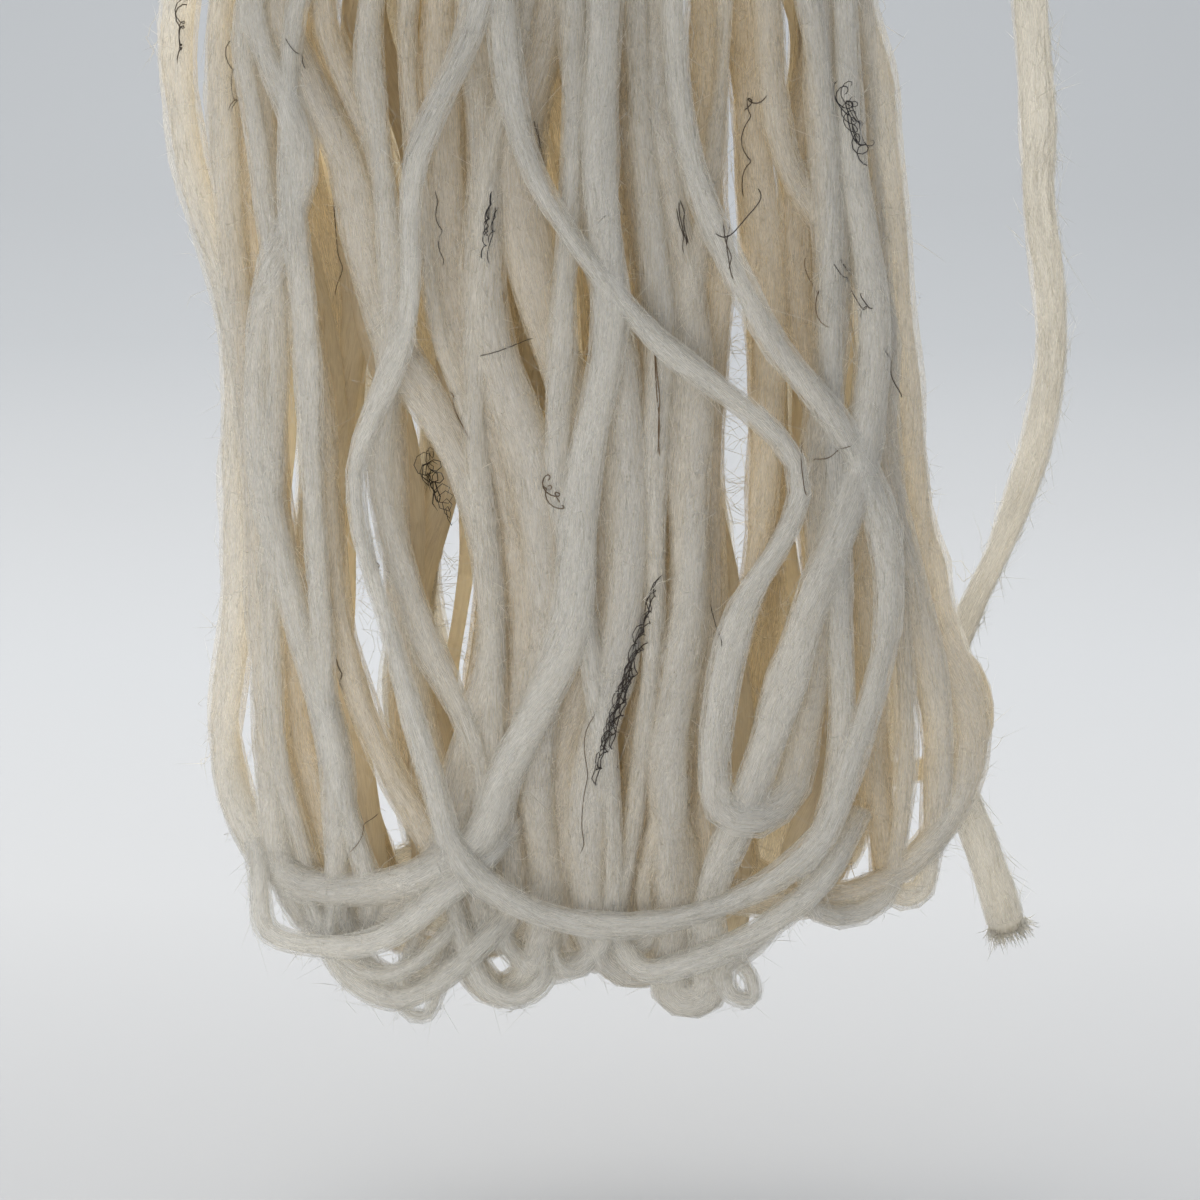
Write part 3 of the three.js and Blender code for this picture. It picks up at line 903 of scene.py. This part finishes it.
# %% Fibres across the slits
SLIT_HAIRS = 60
SLIT_HAIR_POINTS = 5
SLIT_HOLD = 1.6


def slit_paths(slit):
    """Paths of single hairs that hang across one slit, in millimetres."""
    t = np.linspace(0, 1, SLIT_HAIR_POINTS)
    paths = []
    for _ in range(SLIT_HAIRS):
        height = slit["z"] + rng.uniform(-1, 1) * slit["high"]
        y = rng.uniform(-10, 6)
        reach = (slit["wide"] + SLIT_HOLD) * rng.uniform(0.5, 1, 2)
        x = slit["x"] + np.interp(t, [0, 1], [-reach[0], reach[1]])
        z = height + rng.normal(0, 2.5) * t + rng.normal(0, 0.5, SLIT_HAIR_POINTS)
        x = x + rng.normal(0, 0.3, SLIT_HAIR_POINTS)
        paths.append(np.stack([x, y + rng.normal(0, 0.5, SLIT_HAIR_POINTS), z], axis=1))
    return paths


slit_hairs = np.array([path for slit in SLITS for path in slit_paths(slit)])
slit_widths = rng.uniform(0.02, 0.045, len(slit_hairs))
fibre_pieces.append(hairs_mesh("slit_fibres", slit_hairs, slit_widths))

# %% [markdown]
# ## The loose strand
# One end of the yarn hangs free at the right. It bows out from the crown, passes behind the edge
# and ends in a blunt, frayed cut, where it is thicker. It is a cord, a tube along the same route
# as its solid. A small loop stands out behind the edge beside it.

# %% Sizes and routes of the loose strand
LOOSE_YARN = 3.2
CUT_END_YARN = 4.6
CUT_END_LENGTH = 26
CUT_END_TAPER = 12
LOOP_YARN = 2.4
CORD_STEP = 1.2
LOOSE_ROOT = [[14, 1, 4.5], [21, 2, 3.5]]
LOOSE_ROUTE = [
    [27, 3, 0], [33, 4, -5], [39.5, 5, -13], [44.5, 6, -23], [48, 6, -34], [49.5, 6, -45],
    [50.5, 6, -56], [51, 6, -66], [52.5, 6, -76], [53, 6, -84], [52, 6, -92], [50.3, 6, -99.5],
    [47.6, 6, -107], [44.4, 6, -114.5], [41.8, 6, -122], [41.2, 6, -129.5], [43, 6, -136],
    [45.6, 5.6, -142.5], [47.8, 4.8, -148.5], [49.6, 4, -154],
]
EDGE_LOOP = [
    [31, -1, -116.5], [36, 0, -117], [40.5, 0.3, -118.2], [43.8, 0.5, -120.6], [45.4, 0.5, -125],
    [45, 0.5, -129.3], [42.4, 0.3, -132], [38, 0, -133], [32, -1, -133.5],
]
print("the loose strand ends at height", LOOSE_ROUTE[-1][2], "mm")

# %% [markdown]
# ## The cut end
# A cut yarn isn't flat at its end: its fibres part and fan out a little. They start inside the
# end, on a spiral that fills its round evenly.

# %% Helpers for the loose strand
SPIRAL_ANGLE = 2.4
FRAYED_HAIRS = 700
FRAYED_LENGTH = 1.7
EVENNESS = 0.5

cord_rng = np.random.default_rng(11)


def cord_yarn(points, thickness, cut_end=False):
    """A yarn of nearly even thickness, and if asked a thicker end."""
    yarn = yarn_along(points, [thickness], cord_rng, step=CORD_STEP)
    middle = thickness / 2
    yarn["radius"] = middle + (yarn["radius"] - middle) * EVENNESS
    if cut_end:
        before_end = yarn["along"][-1] - yarn["along"]
        t = np.clip((before_end - CUT_END_LENGTH) / CUT_END_TAPER, 0, 1)
        swell = 1 - t * t * (3 - 2 * t)
        yarn["radius"] = yarn["radius"] + (CUT_END_YARN - LOOSE_YARN) / 2 * swell
    return yarn


def frayed_end(yarn, hairs, length):
    """Paths of fibres that leave the cut end of a yarn and fan out a little."""
    centre = yarn["centres"][-1]
    ahead = centre - yarn["centres"][-3]
    ahead /= np.linalg.norm(ahead)
    paths = []
    for number in range(hairs):
        angle = SPIRAL_ANGLE * number
        away = yarn["radius"][-1] * math.sqrt((number + 0.5) / hairs)
        outward = math.cos(angle) * yarn["normal"][-1] + math.sin(angle) * yarn["across"][-1]
        start = centre + away * outward - 0.8 * ahead
        reach = length * cord_rng.uniform(0.4, 1.3)
        fan = outward * cord_rng.uniform(0, 0.6) + cord_rng.normal(0, 0.4, 3)
        t = np.linspace(0, 1, 4)[:, None]
        paths.append(start + reach * (t * ahead + t ** 2 * fan))
    return np.array(paths)


# %% [markdown]
# ## The loose strand as pieces
# The strand, its fibres and its frayed end are pieces of their own. Its root over the crown and
# the small loop belong to the hank.

# %% Loose strand
loose_yarn = cord_yarn(LOOSE_ROUTE, LOOSE_YARN, cut_end=True)
loose_strand = joined_yarns("loose_strand_yarn", [loose_yarn], YARN_SIDES)
root_yarns = [cord_yarn(LOOSE_ROOT + LOOSE_ROUTE[:1], LOOSE_YARN), cord_yarn(EDGE_LOOP, LOOP_YARN)]
roots = joined_yarns("cord_root_and_loop", root_yarns, YARN_SIDES)
hank_pieces.append(roots)
veils.append(veil("veil_root_and_loop", root_yarns, 0.3, WHOLE))
strand_veil = veil("veil_loose_strand", [loose_yarn], 0.3, WHOLE)
loose_fibres = fibre_piece("loose_strand_fibres", [loose_yarn], WHOLE, 22, 3, 0.7, 3.5, 0.06)
end_paths = frayed_end(loose_yarn, FRAYED_HAIRS, FRAYED_LENGTH)
end_widths = cord_rng.uniform(0.08, 0.16, len(end_paths))
frayed = hairs_mesh("loose_strand_frayed_end", end_paths, end_widths,
                    tones=cord_rng.uniform(0.6, 1.0, len(end_paths)))
print("loose strand", round(float(loose_yarn["along"][-1]), 1), "mm")

# %% [markdown]
# ## Dark guard hairs
# A few coarse dark hairs are spun in with the wool and curl on its surface. Each row is a bunch:
# the x and height where it starts and where it ends, how far its hairs curl, in how many waves,
# how many there are, and how brown they are, from 0 for black to 1.

# %% Table of the dark hairs
GUARD_HAIRS = [
    (-46.8, -42.6, -47.1, -48.9, 0.7, 3, 2, 0.2),
    (-40.9, -47.8, -40.6, -55.7, 0.8, 2.5, 2, 0.2),
    (-34.2, -46.8, -32.0, -50.0, 0.3, 1, 1, 0.1),
    (-29.9, -66.0, -29.6, -76.4, 0.7, 1, 1, 0.3),
    (-18.0, -62.7, -17.2, -71.5, 0.3, 3, 1, 0.1),
    (-11.4, -62.5, -13.0, -71.1, 0.3, 2, 6, 0.0),
    (-7.0, -54.7, -6.0, -60.8, 0.15, 1, 4, 0.3),
    (-13.3, -80.8, -7.3, -79.0, 0.0, 1, 1, 0.1),
    (-20.3, -90.7, -18.1, -99.6, 1.1, 3.5, 4, 0.0),
    (-6.2, -94.4, -4.0, -97.3, 0.8, 1.5, 2, 0.6),
    (16.4, -53.1, 16.0, -63.8, 0.6, 2.5, 1, 0.2),
    (13.6, -67.7, 17.5, -63.8, 1.3, 1, 1, 0.1),
    (13.2, -66.3, 13.8, -72.1, 0.4, 1, 2, 0.3),
    (15.8, -54.7, 18.0, -52.9, 0.7, 1, 1, 0.2),
    (26.5, -51.7, 29.6, -59.0, 0.9, 2, 7, 0.0),
    (23.1, -71.6, 25.1, -77.4, 1.0, 1.5, 1, 0.7),
    (26.0, -70.1, 28.8, -74.2, 0.3, 1, 4, 0.1),
    (28.4, -74.8, 29.8, -77.5, 0.7, 1, 1, 0.2),
    (6.6, -104.0, 0.2, -126.0, 0.5, 4, 20, 0.1),
    (12.4, -108.9, 13.5, -112.9, 0.2, 1, 1, 0.1),
    (22.0, -90.4, 22.6, -96.0, 0.3, 1, 1, 0.5),
    (23.7, -93.3, 28.0, -90.9, 0.3, 1.5, 1, 0.5),
    (6.0, -80.3, 6.5, -91.7, 0.2, 1, 2, 0.9),
    (-29.3, -101.9, -26.0, -109.5, 0.6, 1.5, 1, 0.5),
    (-29.9, -116.0, -29.3, -120.2, 0.3, 1, 1, 0.3),
    (-28.8, -138.9, -25.6, -134.8, 0.5, 1, 1, 0.6),
    (-1.1, -120.7, -2.3, -138.9, 0.6, 2, 1, 0.5),
    (31.5, -80.3, 34.2, -87.1, 0.3, 1.5, 1, 0.2),
    (-17.0, -84.7, -14.5, -89.7, 0.5, 1, 1, 0.8),
    (8.5, -64.4, 9.4, -69.2, 0.2, 1, 3, 0.2),
]
print(sum(row[6] for row in GUARD_HAIRS), "dark hairs in", len(GUARD_HAIRS), "bunches")

# %% [markdown]
# ## Laying the dark hairs
# A hair rests on the yarns. A ray from the front finds their surface under each of its points,
# and where the surface falls away between two yarns, the hair bridges the gap with a gentle
# slope.

# %% Helpers for the dark hairs
GUARD_HAIR_WIDTH = 0.14
GUARD_HAIR_POINTS = 22
GUARD_HAIR_SLOPE = 0.25
GUARD_HAIR_LIFT = 0.75
DEEPEST_HAIR = 4.0
DEPTH_OF_GAPS = 3.0
LARGE_BUNCH = 3
SHORTEST_SHARE = 0.4


def joined_tree(pieces):
    """A search tree over several pieces together, in metres."""
    vertices, polygons = [], []
    for piece in pieces:
        base = len(vertices)
        vertices += [v.co.copy() for v in piece.data.vertices]
        polygons += [[base + i for i in polygon.vertices] for polygon in piece.data.polygons]
    return BVHTree.FromPolygons(vertices, polygons)


yarn_tree = joined_tree(hank_pieces)


def front_depth(x, z):
    """How far back the yarn's surface is at a place on the front, in millimetres."""
    hit = yarn_tree.ray_cast(Vector((x * MM, -0.1, z * MM)), Vector((0, 1, 0)))[0]
    return hit.y / MM if hit and hit.y < DEEPEST_HAIR * MM else DEPTH_OF_GAPS


def resting_depths(flat):
    """Depths of a hair's points, where it falls away no steeper than its slope."""
    depths = [front_depth(x, z) for x, z in flat]
    for order in (range(1, len(depths)), range(len(depths) - 2, -1, -1)):
        for i in order:
            depths[i] = min(depths[i], depths[i - order.step] + GUARD_HAIR_SLOPE)
    return depths


# %% [markdown]
# ## A bunch of dark hairs
# The hairs of a bunch run side by side, a little shifted. Each swings to both sides in waves,
# and in a large bunch each covers a stretch of its own.

# %% Lay the dark hairs
guard_rng = np.random.default_rng(23)
guard_paths, guard_browns = [], []
t = np.linspace(0, 1, GUARD_HAIR_POINTS)
for start_x, start_z, end_x, end_z, curl, waves, hairs, brown in GUARD_HAIRS:
    start, end = np.array([start_x, start_z]), np.array([end_x, end_z])
    span = np.linalg.norm(end - start)
    lengthwise = (end - start) / span
    sideways = np.array([-lengthwise[1], lengthwise[0]])
    for _ in range(hairs):
        shift = guard_rng.normal(0, 0.35, 2) * (hairs > 1)
        phase = guard_rng.uniform(0, 2 * math.pi)
        angle = 2 * math.pi * (waves * guard_rng.uniform(0.8, 1.2)) * t + phase
        swing = curl * np.sin(angle) * (0.6 + 0.4 * np.sin(5 * t + phase))
        back_and_forth = curl * 0.9 * np.cos(angle)
        low, high = np.sort(guard_rng.uniform(0, 1, 2)) if hairs > LARGE_BUNCH else (0, 1)
        reach = low + (max(high, low + SHORTEST_SHARE) - low) * t
        flat = (start + shift + np.outer(reach * span + back_and_forth, lengthwise)
                + np.outer(swing, sideways))
        guard_paths.append([[x, depth - GUARD_HAIR_LIFT, z]
                            for (x, z), depth in zip(flat, resting_depths(flat))])
        guard_browns.append(brown)
guard_widths = guard_rng.uniform(0.7, 1.2, len(guard_paths)) * GUARD_HAIR_WIDTH
guard_hairs = hairs_mesh("guard_hairs", np.array(guard_paths), guard_widths,
                         tones=np.array(guard_browns))

# %% [markdown]
# ## Nodes of a material
# A material is a small net of nodes. These helpers make a node with its settings, make a ramp
# from one colour to another, and join an output to an input.

# %% Helpers for materials
def new_tree(name):
    """A new material and its empty net of nodes."""
    material = bpy.data.materials.new(name)
    material.use_nodes = True
    material.node_tree.nodes.clear()
    return material, material.node_tree


def add_node(tree, kind, inputs=None, **settings):
    """A new node, with values for its inputs and its own settings."""
    node = tree.nodes.new("ShaderNode" + kind)
    for key, value in settings.items():
        setattr(node, key, value)
    for key, value in (inputs or {}).items():
        node.inputs[key].default_value = value
    return node


def add_ramp(tree, low, high, places=(0, 1)):
    """A ramp from one colour to another."""
    ramp = add_node(tree, "ValToRGB")
    for stop, colour, place in zip(ramp.color_ramp.elements, (low, high), places):
        stop.color = colour
        stop.position = place
    return ramp


def join(source, output, target, socket):
    """Joins a node's output to another node's input."""
    source.id_data.links.new(source.outputs[output], target.inputs[socket])


# %% [markdown]
# ## Yarn finish
# The wool is matt and lets light through, and the inside of the hank glows warm, partly from that
# light and partly from a painted warm glow. On the cream wool, a painted cool light colours the
# hank's face and a painted warm glow colours it between the turns. The streaks follow the
# straightened coordinate, drawn out along the yarn, and each fibre has a shade of its own. A
# veil is see-through between its streaks.

# %% Colours and streaks
# face colours: cream wool with a painted cool light; deep colours: cream wool with a painted warm
# glow between the turns
FACE_WOOL_PAINTED_COOL_LIGHT = (0.89, 0.89, 0.877, 1)
FACE_GLOW_PAINTED = (0.965, 0.935, 0.87, 1)
DEEP_WOOL_PAINTED_WARM_GLOW = (0.99, 0.92, 0.80, 1)
DEEP_GLOW_PAINTED_WARM = (1.0, 0.91, 0.735, 1)
BEHIND_THROUGH = 0.18
STREAK_LENGTH = 20
VEIL_STREAKS = (0.35, 0.70)


def shade_nodes(tree, darkest, along_yarn, fineness):
    """A shade by streaks along the yarn or by the fibre, and the node that it comes from."""
    low, high = (darkest, darkest * 0.99, darkest * 0.97, 1), (1, 1, 1, 1)
    if not along_yarn:
        source = add_node(tree, "Attribute", attribute_name="tone")
        shade = add_ramp(tree, low, high)
    else:
        place = add_node(tree, "Attribute", attribute_name="straight")
        stretch = add_node(tree, "Mapping", {"Scale": (1, 1, 1 / STREAK_LENGTH)})
        source = add_node(tree, "TexNoise", {"Scale": fineness, "Detail": 2})
        join(place, "Vector", stretch, "Vector")
        join(stretch, "Vector", source, "Vector")
        shade = add_ramp(tree, low, high, (0.3, 0.7))
    join(source, "Fac", shade, "Fac")
    return shade, source


# %% [markdown]
# ## Wool
# A wool is a mix of a matt surface and a glow that comes through from behind. Both have the
# wool's cream with a painted cool light at the hank's face and a painted warm glow inside,
# darkened by the streaks. The yarn at the back lets more light through, because less wool lies
# behind it.

# %% Wool
def wool_material(name, darkest, through, along_yarn, fineness=7.0, veil_share=None):
    """Matt wool that lets a share of the light through."""
    material, tree = new_tree(name)
    surface = add_node(tree, "BsdfPrincipled", {"Roughness": 0.95, "Specular IOR Level": 0.0})
    glow = add_node(tree, "BsdfTranslucent")
    behind = add_node(tree, "Attribute", attribute_name="behind")
    more = add_node(tree, "MapRange", {"To Min": through, "To Max": through + BEHIND_THROUGH})
    wool = add_node(tree, "MixShader")
    join(behind, "Fac", more, "Value")
    join(more, "Result", wool, "Fac")
    shade, streaks = shade_nodes(tree, darkest, along_yarn, fineness)
    sunk = add_node(tree, "Attribute", attribute_name="sunk")
    # painted light: the sunk mask turns the painted cool light of the face into the painted warm
    # glow between the turns
    for face, deep, shader, socket in ((FACE_WOOL_PAINTED_COOL_LIGHT, DEEP_WOOL_PAINTED_WARM_GLOW, surface, "Base Color"),
                                       (FACE_GLOW_PAINTED, DEEP_GLOW_PAINTED_WARM, glow, "Color")):
        depth = add_ramp(tree, face, deep)
        tint = add_node(tree, "MixRGB", {"Fac": 1}, blend_type="MULTIPLY")
        join(sunk, "Fac", depth, "Fac")
        join(depth, "Color", tint, "Color1")
        join(shade, "Color", tint, "Color2")
        join(tint, "Color", shader, socket)
    join(surface, "BSDF", wool, 1)
    join(glow, "BSDF", wool, 2)
    if veil_share:
        low, high = VEIL_STREAKS
        share = add_node(tree, "MapRange", {"From Min": low, "From Max": high,
                                            "To Min": veil_share[0], "To Max": veil_share[1]})
        gaps = add_node(tree, "BsdfTransparent")
        solid, wool = wool, add_node(tree, "MixShader")
        join(streaks, "Fac", share, "Value")
        join(share, "Result", wool, "Fac")
        join(gaps, "BSDF", wool, 1)
        join(solid, "Shader", wool, 2)
    output = add_node(tree, "OutputMaterial")
    join(wool, "Shader", output, "Surface")
    return material


# %% [markdown]
# ## Four kinds of wool
# The same wool is finer inside the hank, has no streaks on a single fibre, and is see-through
# in the veils.

# %% Finishes of the wool
# every finish of the wool carries the painted cool light at the face and the painted warm glow
# inside
yarn_wool_and_painted_light = wool_material("yarn_wool_painted_light", 0.88, 0.70, True)
inner_wool_and_painted_light = wool_material("inner_wool_painted_light", 0.80, 0.80, True, 9.0)
fibre_wool_and_painted_light = wool_material("fibre_wool_painted_light", 0.93, 0.6, False)
veil_wool_and_painted_light = wool_material("veil_wool_painted_light", 0.94, 0.6, True, 9.0, (0.1, 0.75))
print("finishes", [f.name for f in (yarn_wool_and_painted_light, inner_wool_and_painted_light, fibre_wool_and_painted_light, veil_wool_and_painted_light)])

# %% [markdown]
# ## Dark hair finish
# The coarse hairs have a slight gloss, and run from nearly black to brown.

# %% Finish of the dark hairs
HAIR_BLACK = (0.035, 0.030, 0.032, 1)
HAIR_BROWN = (0.30, 0.19, 0.10, 1)

guard_finish, guard_tree = new_tree("guard_hair")
guard_shader = add_node(guard_tree, "BsdfPrincipled", {"Roughness": 0.6})
guard_brown = add_node(guard_tree, "Attribute", attribute_name="tone")
guard_shades = add_ramp(guard_tree, HAIR_BLACK, HAIR_BROWN)
guard_output = add_node(guard_tree, "OutputMaterial")
join(guard_brown, "Fac", guard_shades, "Fac")
join(guard_shades, "Color", guard_shader, "Base Color")
join(guard_shader, "BSDF", guard_output, "Surface")

# %% [markdown]
# ## Which piece is of what
# The inner turns have a finish of their own, because they show only in the gaps.

# %% Give the finishes
strand_pieces = [loose_strand, strand_veil, loose_fibres, frayed]
guard_hairs.data.materials.append(guard_finish)
for piece in hank_pieces + [loose_strand]:
    piece.data.materials.append(inner_wool_and_painted_light if piece is inner_turns else yarn_wool_and_painted_light)
for piece in fibre_pieces + [loose_fibres, frayed]:
    piece.data.materials.append(fibre_wool_and_painted_light)
for piece in veils + [strand_veil]:
    piece.data.materials.append(veil_wool_and_painted_light)
    # the veil is too thin to shade the yarn below it
    piece.visible_shadow = piece.visible_diffuse = False
    piece.visible_glossy = piece.visible_transmission = False
print(len(veils) + 1, "veils are see-through")

# %% [markdown]
# ## What rides where
# The part is one body. The yarn and fibre pieces stand for the solids, which stay for collision.

# %% Ride and replace
for piece in hank_pieces + veils + fibre_pieces + [guard_hairs]:
    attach(piece, "root")
    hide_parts("hank")
for piece in strand_pieces:
    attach(piece, "root")
    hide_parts("loose_strand")


def metres(points):
    return [tuple(float(v) * MM for v in point) for point in points]


metres(LOOSE_ROUTE)[0]
metres(loose_yarn["centres"])

# %% [markdown]
# ## The sheet
# A pale sheet lies under the hank and curves up far behind it, without an edge, as in a
# photographer's room.

# %% Shape of the sheet
FLOOR_HEIGHT = -0.190
FLOOR_FRONT = -1.2
CURVE_START = 0.6
CURVE_RADIUS = 2.6
SWEEP_WIDTH = 8.0
SWEEP_STEPS = 60
FLAT_LENGTH = CURVE_START - FLOOR_FRONT
CURVE_LENGTH = CURVE_RADIUS * math.pi / 2


def sweep_point(run):
    """How far back and how high a point of the sheet is, by its distance along the sheet."""
    if run < FLAT_LENGTH:
        return FLOOR_FRONT + run, FLOOR_HEIGHT
    angle = (run - FLAT_LENGTH) / CURVE_RADIUS
    return (CURVE_START + CURVE_RADIUS * math.sin(angle),
            FLOOR_HEIGHT + CURVE_RADIUS * (1 - math.cos(angle)))


bpy.ops.object.select_all(action="DESELECT")
bpy.ops.mesh.primitive_grid_add(x_subdivisions=1, y_subdivisions=SWEEP_STEPS, size=1)
sweep = bpy.context.object
sweep.name = "sweep"
for vertex in sweep.data.vertices:
    back, high = sweep_point((vertex.co.y + 0.5) * (FLAT_LENGTH + CURVE_LENGTH))
    vertex.co = (vertex.co.x * SWEEP_WIDTH, back, high)
bpy.ops.object.shade_smooth()
print("the sheet rises to", round(high, 2), "m")

# %% [markdown]
# ## Painted light on the sheet
# Its light falls off towards the back, as in the photograph, so the sheet is a little lighter
# or darker from place to place. Each row gives the place along its depth, how light it is and
# how blue.

# %% Sheet with painted falloff of light
# painted light: the sheet's colour falls off by depth as its light does, lightest a little behind
# the hank, a little darker under and in front of it, darker and bluer towards the back
SHEET_PAINTED_FALLOFF = [(0.0, 0.472, 0.0), (1.0, 0.341, 0.02), (0.13, 0.535, 0.0), (0.29, 0.495, 0.01),
          (0.47, 0.433, 0.01), (0.75, 0.367, 0.02)]

sweep_pale_and_painted_falloff, sweep_tree = new_tree("pale_sheet_painted_falloff")
sweep_shader = add_node(sweep_tree, "BsdfPrincipled", {"Roughness": 0.9})
sweep_place = add_node(sweep_tree, "TexCoord")
sweep_axes = add_node(sweep_tree, "SeparateXYZ")
sweep_painted_falloff = add_node(sweep_tree, "ValToRGB")
sweep_output = add_node(sweep_tree, "OutputMaterial")
stops = sweep_painted_falloff.color_ramp.elements
for index, (back, shade, blue) in enumerate(SHEET_PAINTED_FALLOFF):
    stop = stops[index] if index < 2 else stops.new(back)
    stop.position = back
    stop.color = (shade * (1 - blue), shade, shade * (1 + blue), 1)
join(sweep_place, "Object", sweep_axes, "Vector")
join(sweep_axes, "Y", sweep_painted_falloff, "Fac")
join(sweep_painted_falloff, "Color", sweep_shader, "Base Color")
join(sweep_shader, "BSDF", sweep_output, "Surface")
sweep.data.materials.append(sweep_pale_and_painted_falloff)

# %% [markdown]
# ## Lights
# A large soft light hangs above and another behind, so that the sheet glows and shines through
# the yarn, and the front stays dim. A small low light and one behind the hank shine on the yarn
# alone, so that they leave no spot on the sheet. No light is seen itself.

# %% Lights
def area_light(name, place, target, size, power, colour):
    """A square light at a place, turned to a target, that the camera doesn't see."""
    data = bpy.data.lights.new(name, "AREA")
    data.size = size
    data.energy = power
    data.color = colour
    light = bpy.data.objects.new(name, data)
    bpy.context.collection.objects.link(light)
    light.location = place
    light.rotation_euler = (Vector(target) - Vector(place)).to_track_quat("-Z", "Y").to_euler()
    light.visible_camera = False
    return light


WHITE, COOL, COOLER = (1.0, 0.985, 0.96), (0.96, 0.98, 1.0), (0.90, 0.97, 1.0)
WARM, WARMER = (1.0, 0.98, 0.94), (1.0, 0.975, 0.92)

area_light("soft_light", (-0.25, 0.45, 1.1), (-0.1, 0.35, FLOOR_HEIGHT), 1.1, 15, WHITE)
area_light("back_light", (0, 1.5, 1.5), (0, 1.1, FLOOR_HEIGHT), 1.6, 24, COOL)
area_light("front_light", (-0.5, -1.0, 0.3), (0, 0, -0.09), 0.8, 0.4, COOLER)
low_light = area_light("low_light", (-0.1, -0.22, -0.18), (0, 0, -0.13), 0.2, 0.56, WARMER)
glow_light = area_light("glow_light", (0, 0.3, -0.02), (0, 0, -0.09), 0.12, 0.3, WARM)
lit_through = bpy.data.collections.new("lit_through")
for piece in hank_pieces + veils + fibre_pieces + strand_pieces:
    lit_through.objects.link(piece)
for light in (low_light, glow_light):
    light.light_linking.receiver_collection = lit_through

# %% [markdown]
# ## The room
# A dim, slightly blue room fills the shadows. Light bounces often between the yarns, and that
# makes the hank soft.

# %% The room
world = bpy.data.worlds.new("dim_room")
world.use_nodes = True
room = world.node_tree.nodes["Background"]
room.inputs["Color"].default_value = (0.90, 0.96, 1.04, 1)
room.inputs["Strength"].default_value = 0.465
scene = bpy.context.scene
scene.world = world
scene.view_settings.view_transform = "Standard"
scene.cycles.diffuse_bounces = 6
scene.cycles.transmission_bounces = 6
scene.cycles.max_bounces = 8
scene.cycles.use_light_tree = False
print("room light", round(room.inputs["Strength"].default_value, 3))

# %% Write sizes and finish
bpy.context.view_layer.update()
counts = {o.name: len(o.data.polygons) for o in bpy.data.objects
          if o.type == "MESH" and o.data.materials}
print(sum(counts.values()), "triangles in all, at most", max(counts.values()), "a piece")
